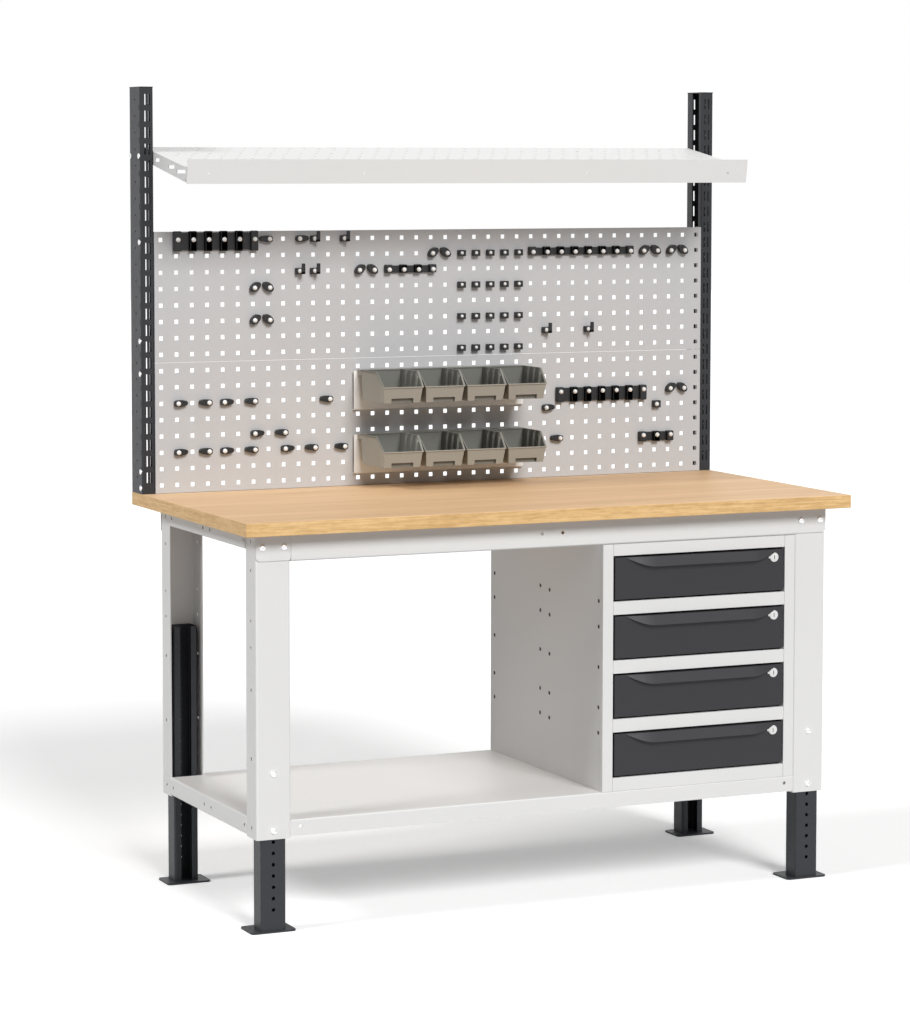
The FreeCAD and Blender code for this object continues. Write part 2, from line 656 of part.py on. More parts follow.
def perforated_panel(name, row):
    body = new_body("panel")
    pan = [
        ("0", "0"), ("panel_flange", "0"), ("panel_flange", "panel_sheet"), ("panel_sheet", "panel_sheet"),
        ("panel_sheet", "panel_tall - panel_sheet"), ("panel_flange", "panel_tall - panel_sheet"),
        ("panel_flange", "panel_tall"), ("0", "panel_tall"),
    ]
    pad(body, outline(body, "YZ_Plane", [pan]), "2 * %s" % PANEL_HALF, both_ways=True)
    edges = [
        rectangle("-" + PANEL_HALF, "0", "-%s + panel_sheet" % PANEL_HALF, "panel_tall"),
        rectangle(PANEL_HALF + " - panel_sheet", "0", PANEL_HALF, "panel_tall"),
    ]
    pad(body, outline(body, "XZ_Plane", edges), "panel_side", backwards=True)
    first_x = "-(hole_columns - 1) * hole_pitch / 2 - hole_size / 2"
    first_z = "hole_edge - hole_size / 2"
    hole = rectangle(first_x, first_z, first_x + " + hole_size", first_z + " + hole_size")
    sketch = outline(body, "XZ_Plane", [hole], offset="0.5")
    first = pocket(body, sketch, "panel_sheet + 1", backwards=False)
    before = first.Shape.Volume
    grid = body.newObject("PartDesign::MultiTransform", "grid")
    grid.Originals = [first]
    steps = []
    for label, axis, count in (("columns", "H_Axis", "hole_columns"), ("rows", "V_Axis", "hole_rows")):
        pattern = body.newObject("PartDesign::LinearPattern", label)
        pattern.Direction = (sketch, [axis])
        pattern.setExpression("Length", cells("(%s - 1) * hole_pitch" % count))
        pattern.setExpression("Occurrences", cells(count))
        steps.append(pattern)
    grid.Transformations = steps
    body.Tip = grid
    doc.recompute()
    holes = value("hole_columns * hole_rows") - 1
    removed = before - grid.Shape.Volume
    expected = holes * value("hole_size * hole_size * panel_sheet")
    if abs(removed - expected) > 1:
        raise RuntimeError("the panel's grid removed %.1f instead of %.1f" % (removed, expected))
    height = "top_height + 0.5 + %d * panel_tall" % row
    node(body, name, at=("0", PANEL_FACE, height))


# Upper shelf: a folded shelf with a tall fascia, carried between two slotted arms.
def upper_shelf():
    body = new_body("upper_shelf")
    profile = [
        ("0", "-shelf_sheet"), ("shelf_deep - shelf_sheet", "-shelf_sheet"),
        ("shelf_deep - shelf_sheet", "-fascia_up"), ("shelf_deep", "-fascia_up"), ("shelf_deep", "0"), ("0", "0"),
    ]
    length = "2 * (%s - upright_sheet - shelf_play)" % PANEL_HALF
    pad(body, outline(body, "YZ_Plane", [profile]), length, both_ways=True)
    fascia = rectangle("-shelf_sheet", "-fascia_down", "0", "fascia_up")
    pad(body, outline(body, "YZ_Plane", [fascia]), "2 * %s" % PANEL_HALF, both_ways=True)
    node(body, "upper_shelf", at=("0", "shelf_front", "shelf_height"), tilt="shelf_tilt")


# Each slot of an arm: its start behind the fascia and its length.
ARM_SLOTS = ((12, 58), (86, 40), (188, 30))


def shelf_arm(side, sign):
    body = new_body("shelf_arm")
    arm = [("shelf_play", "-arm_front"), ("shelf_deep", "-arm_rear"), ("shelf_deep", "0"), ("shelf_play", "0")]
    loops = [arm]
    for start, length in ARM_SLOTS:
        middle = "-arm_rear / 2"
        low, high = middle + " - arm_slot / 2", middle + " + arm_slot / 2"
        loops.append(rectangle(str(start), low, str(start + length), high))
    thick_way = sign > 0
    pad(body, outline(body, "YZ_Plane", loops), "upright_sheet", backwards=thick_way)
    at = ("%d * %s" % (sign, PANEL_HALF), "shelf_front", "shelf_height")
    node(body, "shelf_arm_" + side, at=at, tilt="shelf_tilt")


# Bin rails: folded plates that stand off the panel, over which the bins hook.
def bin_rail(name, height):
    body = new_body("bin_rail")
    profile = [
        ("0", "0"), ("rail_ahead", "0"), ("rail_ahead", "deck_sheet"), ("deck_sheet", "deck_sheet"),
        ("deck_sheet", "rail_height"), ("0", "rail_height"),
    ]
    pad(body, outline(body, "YZ_Plane", [profile]), "rail_long", both_ways=True)
    node(body, name, at=("0", PANEL_FACE + " - rail_ahead", height))


# Storage bins: tapered open boxes with a low leaning front. A ledge at the rim reaches back to
# the rail and hooks over its upper edge.
def storage_bin(number, place, rail):
    body = new_body("bin")
    back = "(bin_back_wide - bin_draft) / 2"
    front = "(bin_front_wide - bin_draft) / 2"
    plan = [
        ("-" + front, "-bin_long + bin_lean"), (front, "-bin_long + bin_lean"), (back, "-bin_ledge"),
        ("-" + back, "-bin_ledge"),
    ]
    block = pad(body, outline(body, "XY_Plane", [plan]), "bin_tall")

    def faces(chosen):
        return ["Face%d" % (i + 1) for i, face in enumerate(body.Tip.Shape.Faces) if chosen(face.normalAt(0, 0))]

    def lean(base, chosen, angle):
        """Tilt the chosen upright faces outwards from the floor up."""
        names = faces(chosen)
        drafted = body.newObject("PartDesign::Draft", "draft")
        drafted.Base = (base, names)
        drafted.NeutralPlane = ([o for o in body.Origin.OriginFeatures if o.Role == "XY_Plane"][0], [""])
        drafted.setExpression("Angle", cells(angle))
        drafted.Reversed = True
        doc.recompute()
        return drafted

    sides = lean(block, lambda n: abs(n.z) < 0.5 and n.y > -0.5, "atan(bin_draft / 2 / bin_tall)")
    drafted = lean(sides, lambda n: abs(n.z) < 0.5 and n.y < -0.5, "atan(bin_lean / bin_front_tall)")
    mouth = faces(lambda normal: normal.z > 0.9)
    hollow = body.newObject("PartDesign::Thickness", "hollow")
    hollow.Base = (drafted, mouth)
    hollow.setExpression("Value", cells("bin_wall"))
    hollow.Reversed = True
    hollow.Join = 1
    doc.recompute()
    slope = [
        ("-2 * bin_long", "bin_front_tall"), ("-bin_long", "bin_front_tall"),
        ("-bin_long + bin_slope", "bin_tall"), ("-bin_long + bin_slope", "2 * bin_tall"),
        ("-2 * bin_long", "2 * bin_tall"),
    ]
    pocket(body, outline(body, "YZ_Plane", [slope]))
    rim = "bin_draft / 2"
    ledge = rectangle("-bin_ledge - bin_wall / 2", "bin_tall - hook_top", rim, "bin_tall")
    pad(body, outline(body, "YZ_Plane", [ledge]), "bin_back_wide", both_ways=True)
    behind = rim + " + rail_slack * 2 + deck_sheet"
    bridge, drop = "bin_tall - hook_top", "bin_tall - hook_top - bin_hook_deep"
    hook = [
        (rim + " - bin_wall", bridge), (behind, bridge), (behind, drop), (behind + " + hook_sheet", drop),
        (behind + " + hook_sheet", "bin_tall"), (rim + " - bin_wall", "bin_tall"),
    ]
    pad(body, outline(body, "YZ_Plane", [hook]), "bin_hook_wide", both_ways=True)
    along = PANEL_FACE + " - rail_ahead - rail_slack - bin_draft / 2"
    at = ("%s * bin_pitch" % place, along, rail + " + bin_lift")
    node(body, "bin_%d" % number, at=at)


# Tool holders: black clips, bars and peg blocks, each screwed through one hole of a panel.
# A place is a column counted from the left and a row counted from the top, both from 0.
HOLDER_BARS = ((1, 6, 0), (15, 18, 2), (25, 32, 1), (27, 33, 10))
HOLDER_CLIPS = (
    (7, 0), (9, 0), (10, 0), (12, 0), (9, 2), (10, 2), (13, 2), (14, 2), (18, 1), (19, 1), (33, 1), (36, 1),
    (26, 6), (29, 6), (1, 10), (3, 10), (4, 10), (6, 10), (1, 13), (3, 13), (8, 13), (35, 10),
)
PEG_COLUMNS = (20, 24)
PEG_ROWS = (1, 3, 5, 7)


def tool_holders():
    def across(column):
        return "(%d - (hole_columns - 1) / 2) * hole_pitch" % column

    def height(row):
        return "(top_height + 0.5 + 2 * panel_tall - hole_edge - %d * hole_pitch)" % row

    solids = []
    for first, last, row in HOLDER_BARS:
        size = ("%d * hole_pitch + 2 * bar_past" % (last - first), "bar_deep", "bar_tall")
        at = (across(first) + " - bar_past", PANEL_FACE + " - bar_deep", height(row) + " - bar_tall / 2")
        solids.append(box("holder_bar", size, at))
    for column, row in HOLDER_CLIPS:
        at = (across(column) + " - clip_wide / 2", PANEL_FACE + " - clip_wide", height(row) + " - clip_tall / 2")
        solids.append(box("holder_clip", ("clip_wide", "clip_wide", "clip_tall"), at))
    first, last = PEG_COLUMNS
    for row in PEG_ROWS:
        size = ("%d * hole_pitch + peg_wide" % (last - first), "peg_tall", "peg_tall")
        at = (across(first) + " - peg_past", PANEL_FACE + " - peg_tall", height(row) + " - peg_tall / 2")
        solids.append(box("holder_peg", size, at))
    node(group("tool_holders_group", solids), "tool_holders")


# Frame bolts: button heads on the beams' ends and at the height holes of the legs.
def frame_bolts():
    heads = []
    half = FRAME_HALF
    for end, face, turn in ENDS:
        outward = "-" if turn == 0 else "+"
        for side, sign in SIDES:
            places = [
                ("%d * (%s - beam_bolt_out)" % (sign, half), "steel", BOARD_BOTTOM + " - beam_tall / 2"),
                ("%d * (%s - beam_bolt_out - beam_bolt_gap)" % (sign, half), "steel",
                 BOARD_BOTTOM + " - beam_tall / 2"),
                ("%d * (%s - leg_width / 2)" % (sign, half), "0", "bolt_low"),
                ("%d * (%s - leg_width / 2)" % (sign, half), "0", "bolt_high"),
            ]
            for across, proud, height in places:
                head = doc.addObject("Part::Prism", "bolt_head")
                head.Polygon = 6
                head.setExpression("Circumradius", cells("bolt_head"))
                head.setExpression("Height", cells("bolt_proud"))
                lean = 90 if turn == 0 else -90
                head.Placement = FreeCAD.Placement(Vector(), Rotation(X_AXIS, lean))
                at = (across, "%s %s %s" % (face, outward, proud), height)
                for axis, text in zip("xyz", at):
                    head.setExpression("Placement.Base." + axis, cells(text))
                heads.append(head)
    node(group("frame_bolts_group", heads), "frame_bolts")


worktop()
for end, face, turn in ENDS:
    for side, sign in SIDES:
        leg(side, sign, end, face, turn)
        foot(side, sign, end, face, turn)
    beam(end, face, turn)
for side, sign in SIDES:
    side_rail("side_rail_top_" + side, sign, BOARD_BOTTOM + " - rail_tall", "rail_tall", "rail_flange")
    side_rail("side_rail_low_" + side, sign, "low_rail_bottom", "low_rail_tall", "low_rail_shelf")
lower_shelf()
cabinet_shell()
face_frame()
slide_posts()
slide_outer()
for number in range(1, 5):
    slide_middle(number)
    slide_inner(number)
    drawer_box(number)
    drawer_front(number)
    lock(number)
for side, sign in SIDES:
    upright(side, sign)
perforated_panel("panel_lower", 0)
perforated_panel("panel_upper", 1)
upper_shelf()
for side, sign in SIDES:
    shelf_arm(side, sign)
bin_rail("bin_rail_upper", "rail_upper")
bin_rail("bin_rail_lower", "rail_lower")
for number in range(1, 9):
    place = "(%d - 1.5)" % ((number - 1) % 4)
    storage_bin(number, place, "rail_upper" if number < 5 else "rail_lower")
tool_holders()
frame_bolts()
doc.recompute()

# Every object has to be computed, and every sub-part has to be a valid solid.
for item in doc.Objects:
    if "Invalid" in item.State or "Error" in item.State:
        raise RuntimeError("%s is %s" % (item.Name, item.State))
os.makedirs("parts", exist_ok=True)
for item in nodes:
    shape = item.Shape
    if shape.isNull() or not shape.isValid():
        raise RuntimeError("%s has no valid shape" % item.Label)
    for solid in shape.Solids:
        if solid.Volume <= 0:
            raise RuntimeError("%s is inside out" % item.Label)
for item in nodes:
    item.Shape.exportStep("parts/%s.step" % item.Label)
print("%d sub-parts written" % len(nodes))
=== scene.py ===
import math

import bmesh
import bpy
from mathutils import Matrix, Vector


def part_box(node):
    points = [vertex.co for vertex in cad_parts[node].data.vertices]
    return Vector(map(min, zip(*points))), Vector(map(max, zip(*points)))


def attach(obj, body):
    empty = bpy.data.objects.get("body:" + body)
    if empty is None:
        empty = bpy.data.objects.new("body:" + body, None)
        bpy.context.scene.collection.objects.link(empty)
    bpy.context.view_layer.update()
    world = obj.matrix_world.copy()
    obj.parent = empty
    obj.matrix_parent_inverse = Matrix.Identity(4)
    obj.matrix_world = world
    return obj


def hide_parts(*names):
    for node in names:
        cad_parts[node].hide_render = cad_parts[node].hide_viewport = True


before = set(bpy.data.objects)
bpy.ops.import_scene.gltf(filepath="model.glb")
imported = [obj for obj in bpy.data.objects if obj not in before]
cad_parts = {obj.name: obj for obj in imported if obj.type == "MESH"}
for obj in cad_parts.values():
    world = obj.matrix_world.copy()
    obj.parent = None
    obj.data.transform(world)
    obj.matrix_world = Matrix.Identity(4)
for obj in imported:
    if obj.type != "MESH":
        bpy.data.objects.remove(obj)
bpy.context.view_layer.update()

MM = 0.001

# Feet. Each is a lipped channel of folded steel with a row of height holes in its web, welded to a thin
# plate that stands on the floor. It is powder coated anthracite and slides up and down inside a leg.
FOOT_WIDE = 58.5 * MM
FOOT_DEEP = 48 * MM
FOOT_LIP = 16 * MM
FOOT_STEEL = 2.5 * MM
FOOT_BEND = 5 * MM
FOOT_PLATE = 4 * MM
PLATE_AHEAD = 5 * MM
PLATE_CORNER = 9 * MM
HEIGHT_HOLE = 8.5 * MM
HEIGHT_STEP = 25 * MM
HEIGHT_LOWEST = 50 * MM
FULLY_ROUND = 0.999
BUMP_HIGH = 0.3 * MM
ALONG_X = (0.0, math.pi / 2, 0.0)
ALONG_Y = (math.pi / 2, 0.0, 0.0)
ALONG_Z = (0.0, 0.0, 0.0)


def rounded(points, radii, steps=4):
    """An open line through the points whose inner corners become arcs of the given radii."""
    line = [Vector(points[0])]
    for before, corner, after, radius in zip(points, points[1:], points[2:], radii):
        back = (Vector(before) - Vector(corner)).normalized()
        on = (Vector(after) - Vector(corner)).normalized()
        half = back.angle(on) / 2
        centre = Vector(corner) + (back + on).normalized() * radius / math.sin(half)
        arm = Vector(corner) + back * radius / math.tan(half) - centre
        sweep = math.copysign(math.pi - 2 * half, -back.cross(on))
        line += [centre + Matrix.Rotation(sweep * step / steps, 2) @ arm for step in range(steps + 1)]
    line.append(Vector(points[-1]))
    return line


def folded(path, sheet, bend):
    """The closed section of a sheet that is folded along a path and lies to the left of it."""
    points = [Vector(p) for p in path]
    ways = [(b - a).normalized() for a, b in zip(points, points[1:])]
    lefts = [Vector((-way.y, way.x)) for way in ways]
    other = [points[0] + lefts[0] * sheet]
    near, far = [], []
    for i in range(1, len(points) - 1):
        other.append(points[i] + (lefts[i - 1] + lefts[i]) * sheet / (1 + lefts[i - 1].dot(lefts[i])))
        inside_left = ways[i - 1].cross(ways[i]) > 0
        near.append(bend if inside_left else bend - sheet)
        far.append(bend - sheet if inside_left else bend)
    other.append(points[-1] + lefts[-1] * sheet)
    return rounded(points, near) + rounded(other, far)[::-1]


def skin(bm, rings):
    """Adds the closed solid whose skin runs from ring to ring of points, with flat ends."""
    rings = [[bm.verts.new(p) for p in ring] for ring in rings]
    for a, b in zip(rings, rings[1:]):
        for i in range(len(a)):
            j = (i + 1) % len(a)
            bm.faces.new((a[i], a[j], b[j], b[i]))
    bm.faces.new(rings[0])
    bm.faces.new(rings[-1][::-1])


def prism(bm, loop, place, start, end):
    """Adds the closed solid that an outline sweeps from start to end; place gives each point in space."""
    skin(bm, [[place(p[0], p[1], at) for p in loop] for at in (start, end)])


def block(bm, corner, opposite, edge=0.0, segments=2):
    """Adds a box between two opposite corners, with its edges rounded."""
    made = bmesh.ops.create_cube(bm, size=1.0)["verts"]
    size = Vector(abs(b - a) for a, b in zip(corner, opposite))
    middle = (Vector(opposite) + Vector(corner)) / 2
    for vert in made:
        vert.co = Vector(a * b for a, b in zip(vert.co, size)) + middle
    if edge:
        edges = list({e for v in made for e in v.link_edges})
        bmesh.ops.bevel(bm, geom=edges, offset=edge, segments=segments, profile=0.5, affect="EDGES")


def new_piece(name, bm, *materials):
    """Writes a bmesh to a new object, with its faces turned outwards."""
    bmesh.ops.recalc_face_normals(bm, faces=bm.faces)
    mesh = bpy.data.meshes.new(name)
    bm.to_mesh(mesh)
    bm.free()
    for material in materials:
        mesh.materials.append(material)
    piece = bpy.data.objects.new(name, mesh)
    bpy.context.scene.collection.objects.link(piece)
    return piece


def swept(name, loop, place, start, end):
    """A new object: the solid that an outline sweeps from start to end."""
    bm = bmesh.new()
    prism(bm, loop, place, start, end)
    return new_piece(name, bm)


def taken_back(piece):
    """The mesh of a piece as a bmesh to go on with; the object itself goes."""
    bm = bmesh.new()
    bm.from_mesh(piece.data)
    bpy.data.objects.remove(piece)
    return bm


def settle(piece):
    """Replaces the piece's mesh by what its modifiers make of it."""
    graph = bpy.context.evaluated_depsgraph_get()
    made = bpy.data.meshes.new_from_object(piece.evaluated_get(graph), depsgraph=graph)
    made.name = piece.name
    piece.modifiers.clear()
    piece.data = made
    return piece


def shade_smooth(mesh, angle):
    """Shades bends up to an angle smoothly."""
    mesh.polygons.foreach_set("use_smooth", [True] * len(mesh.polygons))
    mesh.set_sharp_from_angle(angle=math.radians(angle))


def smooth_bends(piece, angle=35):
    """Shades the bends smoothly and keeps flat faces flat."""
    shade_smooth(piece.data, angle)
    weighted = piece.modifiers.new("flat faces", "WEIGHTED_NORMAL")
    weighted.keep_sharp = True
    weighted.weight = 100
    return settle(piece)


def link_inputs(tree, node, inputs):
    """Gives each input of a node a value, or links it from sockets or from nodes' first outputs."""
    for name, value in inputs.items():
        for each in value if isinstance(value, list) else [value]:
            source = each.outputs[0] if isinstance(each, bpy.types.Node) else each
            if isinstance(source, bpy.types.NodeSocket):
                tree.links.new(source, node.inputs[name])
            else:
                node.inputs[name].default_value = source


def add_node(tree, kind, inputs=None, **settings):
    """Adds a node with its settings and its inputs."""
    node = tree.nodes.new(kind)
    for name, value in settings.items():
        setattr(node, name, value)
    link_inputs(tree, node, inputs or {})
    return node


def new_tree(name, sockets):
    """A Geometry Nodes tree with inputs of the given names and kinds, and its input node's sockets."""
    tree = bpy.data.node_groups.new(name, "GeometryNodeTree")
    for socket, kind in sockets.items():
        tree.interface.new_socket(name=socket, in_out="INPUT", socket_type="NodeSocket" + kind)
    tree.interface.new_socket(name="Geometry", in_out="OUTPUT", socket_type="NodeSocketGeometry")
    return tree, tree.nodes.new("NodeGroupInput").outputs


def set_out(tree, given, part):
    """Nodes that put a copy of a part at each of the given places, all turned the same way."""
    places = add_node(tree, "GeometryNodeObjectInfo", {"Object": given["Places"]})
    turned = add_node(tree, "FunctionNodeEulerToRotation", {"Euler": given["Direction"]})
    put = add_node(tree, "GeometryNodeInstanceOnPoints", {
        "Points": places.outputs["Geometry"], "Instance": part, "Rotation": turned,
    })
    return add_node(tree, "GeometryNodeRealizeInstances", {"Geometry": put})


def make_punch():
    """A tree that cuts one kind of hole at each point of the places, like a punch press."""
    tree, given = new_tree("punch_holes", {
        "Geometry": "Geometry", "Places": "Object", "Width": "Float", "Height": "Float", "Corner": "Float",
        "Depth": "Float", "Corner steps": "Int", "Direction": "Vector", "Finish": "Material",
    })
    outline = add_node(tree, "GeometryNodeCurvePrimitiveQuadrilateral", {
        "Width": given["Width"], "Height": given["Height"],
    })
    corners = add_node(tree, "GeometryNodeFilletCurve", {
        "Curve": outline, "Radius": given["Corner"], "Count": given["Corner steps"],
    }, mode="POLY")
    flat = add_node(tree, "GeometryNodeFillCurve", {"Curve": corners}, mode="NGONS")
    back = add_node(tree, "ShaderNodeMath", {0: given["Depth"], 1: -0.5}, operation="MULTIPLY")
    offset = add_node(tree, "ShaderNodeCombineXYZ", {"Z": back})
    lowered = add_node(tree, "GeometryNodeTransform", {"Geometry": flat, "Translation": offset})
    upward = add_node(tree, "ShaderNodeCombineXYZ", {"Z": given["Depth"]})
    raised = add_node(tree, "GeometryNodeExtrudeMesh", {
        "Mesh": lowered, "Offset": upward, "Individual": False,
    })
    flipped = add_node(tree, "GeometryNodeFlipFaces", {"Mesh": lowered})
    closed = add_node(tree, "GeometryNodeJoinGeometry", {"Geometry": [raised, flipped]})
    welded = add_node(tree, "GeometryNodeMergeByDistance", {"Geometry": closed})
    cut = add_node(tree, "GeometryNodeMeshBoolean", {
        "Mesh 1": given["Geometry"], "Mesh 2": set_out(tree, given, welded),
    }, operation="DIFFERENCE", solver="EXACT")
    coat = add_node(tree, "GeometryNodeSetMaterial", {"Geometry": cut, "Material": given["Finish"]})
    add_node(tree, "NodeGroupOutput", {"Geometry": coat})
    return tree


punch_tree = make_punch()


def run_tree(piece, tree, places, values):
    """Runs a Geometry Nodes tree on a piece, with inputs by their names and a point at each place."""
    bm = bmesh.new()
    for place in places:
        bm.verts.new(place)
    values["Places"] = new_piece("places", bm)
    modifier = piece.modifiers.new(tree.name, "NODES")
    modifier.node_group = tree
    for item in tree.interface.items_tree:
        if item.in_out == "INPUT" and item.name in values:
            modifier[item.identifier] = values[item.name]
    settle(piece)
    bpy.data.objects.remove(values["Places"])
    return piece


def punch(piece, places, size, depth, direction, finish, corner=None, steps=4):
    """Punches holes of one size through a piece; a hole is round unless it has a corner radius."""
    wide, tall = size if isinstance(size, tuple) else (size, size)
    return run_tree(piece, punch_tree, places, {
        "Width": wide, "Height": tall, "Depth": depth, "Direction": direction, "Finish": finish,
        "Corner": corner if corner is not None else min(wide, tall) / 2 * FULLY_ROUND, "Corner steps": steps,
    })


def new_material(name):
    """A material with its node tree and its shader."""
    material = bpy.data.materials.new(name)
    material.use_nodes = True
    return material, material.node_tree, material.node_tree.nodes["Principled BSDF"]


def toned(tree, factor, colour, darker, lighter):
    """A colour that goes with the factor from a darker to a lighter tone."""
    dark = (*[c * darker for c in colour], 1)
    light = (*[min(1, c * lighter) for c in colour], 1)
    mixed = add_node(tree, "ShaderNodeMix", {"Factor": factor, "A": dark, "B": light}, data_type="RGBA")
    return mixed.outputs["Result"]


def ranged(tree, value, lowest, highest):
    """A number that goes with a value from the lowest to the highest."""
    return add_node(tree, "ShaderNodeMapRange", {"Value": value, "To Min": lowest, "To Max": highest})


def relief(tree, height, strength):
    """A fine relief that follows a height from 0 to 1."""
    return add_node(tree, "ShaderNodeBump", {"Height": height, "Strength": strength, "Distance": BUMP_HIGH})


def powder_coat(name, colour, roughness=0.5, tone=0.035):
    """Baked powder paint: a fine orange peel, and a colour that wanders a little from place to place."""
    material, tree, shader = new_material(name)
    where = add_node(tree, "ShaderNodeTexCoord").outputs["Object"]
    cloud = add_node(tree, "ShaderNodeTexNoise", {"Vector": where, "Scale": 2.2, "Detail": 3})
    peel = add_node(tree, "ShaderNodeTexNoise", {"Vector": where, "Scale": 650, "Detail": 2})
    speck = add_node(tree, "ShaderNodeTexNoise", {"Vector": where, "Scale": 90})
    link_inputs(tree, shader, {
        "Specular IOR Level": 0.35,
        "Base Color": toned(tree, cloud, colour, 1 - tone, 1 + tone),
        "Roughness": ranged(tree, speck, roughness - 0.08, roughness + 0.08),
        "Normal": relief(tree, peel, 0.12),
    })
    return material


def fit(piece, body, slot, *nodes):
    """The piece moves with a body and stands for some nodes of the frame, which it hides. The slot is not
    used.
    """
    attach(piece, body)
    if nodes:
        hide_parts(*nodes)
    return piece


anthracite = powder_coat("anthracite paint", (0.026, 0.028, 0.033), roughness=0.46, tone=0.06)


def make_foot(node, inward):
    low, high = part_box(node)
    middle = (low.x + high.x) / 2
    web = low.y + PLATE_AHEAD if inward > 0 else high.y - PLATE_AHEAD
    half = FOOT_WIDE / 2
    lip = half - FOOT_LIP
    path = [(-lip, FOOT_DEEP), (-half, FOOT_DEEP), (-half, 0), (half, 0), (half, FOOT_DEEP), (lip, FOOT_DEEP)]
    section = folded(path, FOOT_STEEL, FOOT_BEND)
    foot = swept("foot", section, lambda a, b, z: (middle + a, web + inward * b, z), FOOT_PLATE, high.z)
    holes = []
    level = HEIGHT_LOWEST
    while level < high.z - HEIGHT_STEP / 2:
        holes.append((middle, web, level))
        level += HEIGHT_STEP
    punch(foot, holes, HEIGHT_HOLE, 4 * FOOT_STEEL, ALONG_Y, anthracite)
    bm = taken_back(foot)
    start = (middle, low.y)
    corners = [start, (high.x, low.y), (high.x, high.y), (low.x, high.y), (low.x, low.y), start]
    prism(bm, rounded(corners, [PLATE_CORNER] * 4)[:-1], lambda a, b, z: (a, b, z), 0, FOOT_PLATE)
    foot = new_piece(node + "_painted", bm, anthracite)
    fit(smooth_bends(foot), node, "anthracite_paint", node)


for side in ("left", "right"):
    make_foot("foot_front_" + side, 1)
    make_foot("foot_rear_" + side, -1)

# Legs. Each is a plain channel of folded steel with its web to the outside, and both side walls are
# punched at the same levels for rails, shelves and cabinets. They are powder coated light grey.
LEG_STEEL = 2.5 * MM
LEG_BEND = 5 * MM
LEG_HOLE = 8 * MM
LEG_HOLE_IN = 30 * MM
LEG_LEVELS = [level * MM for level in (857, 793, 683, 624, 532, 381, 229)]
DIMPLE = 2.6 * MM
DIMPLE_ASIDE = 11 * MM
DIMPLE_UP = 6.5 * MM

light_grey = powder_coat("light grey paint", (0.80, 0.797, 0.79), roughness=0.44, tone=0.02)


def make_leg(node, inward):
    low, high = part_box(node)
    middle = (low.x + high.x) / 2
    web = low.y if inward > 0 else high.y
    half = (high.x - low.x) / 2
    deep = high.y - low.y
    section = folded([(-half, deep), (-half, 0), (half, 0), (half, deep)], LEG_STEEL, LEG_BEND)
    leg = swept(node + "_painted", section, lambda a, b, z: (middle + a, web + inward * b, z), low.z, high.z)
    across = web + inward * LEG_HOLE_IN
    punch(leg, [(middle, across, level) for level in LEG_LEVELS], LEG_HOLE, 3 * half, ALONG_X, light_grey)
    # four dimples stand round the lowest hole
    dimples = []
    for aside in (-DIMPLE_ASIDE, DIMPLE_ASIDE):
        for up in (-DIMPLE_UP, DIMPLE_UP):
            dimples.append((middle, across + aside, LEG_LEVELS[-1] + up))
    punch(leg, dimples, DIMPLE, 3 * half, ALONG_X, light_grey, steps=2)
    fit(smooth_bends(leg), "root", "light_grey_paint", node)


for side in ("left", "right"):
    make_leg("leg_front_" + side, 1)
    make_leg("leg_rear_" + side, -1)

# Beams. A channel joins the two front legs and another the two rear legs. Its web runs on in front of
# the legs, where two button heads hold each end.
BEAM_STEEL = 2.5 * MM
BEAM_BEND = 4.5 * MM
BEAM_CUT = 6 * MM
BEAM_HOLE = 8 * MM
BEAM_HOLE_OFF = 26 * MM
LEG_GAP = 0.5 * MM
PLATE_OVERLAP = 10 * MM
PLATE_STEP = 1 * MM


def combine(piece, operation, bm):
    """Joins a closed mesh to the piece, with UNION, or cuts it out, with DIFFERENCE."""
    other = new_piece("other", bm)
    boolean = piece.modifiers.new("combine", "BOOLEAN")
    boolean.operation = operation
    boolean.solver = "EXACT"
    boolean.object = other
    settle(piece)
    bpy.data.objects.remove(other)


def make_beam(node, inward):
    low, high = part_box(node)
    web = low.y if inward > 0 else high.y
    tall = high.z - low.z
    deep = high.y - low.y
    leg_low, leg_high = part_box("leg_front_left")
    inner = -leg_high.x - LEG_GAP
    section = folded([(deep, 0), (0, 0), (0, tall), (deep, tall)], BEAM_STEEL, BEAM_BEND)[::-1]
    beam = swept(node + "_painted", section, lambda a, b, x: (x, web + inward * a, low.z + b), -inner, inner)
    # a flat plate at each end carries the web on over the leg, and its lower outer corner is cut off
    start = inner - PLATE_OVERLAP
    step = inner + PLATE_STEP
    plate = [
        (start, BEAM_BEND), (step, BEAM_BEND), (step, 0), (high.x - BEAM_CUT, 0), (high.x, BEAM_CUT),
        (high.x, tall), (step, tall), (step, tall - BEAM_BEND), (start, tall - BEAM_BEND),
    ]
    for sign in (-1, 1):
        bm = bmesh.new()
        prism(bm, plate, lambda a, b, y: (sign * a, web + inward * y, low.z + b), 0, BEAM_STEEL)
        combine(beam, "UNION", bm)
    holes = [(sign * BEAM_HOLE_OFF, web, (low.z + high.z) / 2) for sign in (-1, 1)]
    punch(beam, holes, BEAM_HOLE, 6 * BEAM_STEEL, ALONG_Y, light_grey)
    fit(smooth_bends(beam), "root", "light_grey_paint", node)


make_beam("beam_front", 1)
make_beam("beam_rear", -1)

# Side rails. An upper and a lower channel join the front and rear leg of each side. The lower one has a
# wide top flange that carries the end of the shelf.
RAIL_STEEL = 2.5 * MM
RAIL_BEND = 4 * MM
RAIL_LOW_FLANGE = 25 * MM
RAIL_TAB = 20 * MM
RAIL_HOLE = 8 * MM
RAIL_HOLES = [place * MM for place in (205, -2, -47, -257)]
RAIL_HOLE_UP = 17 * MM


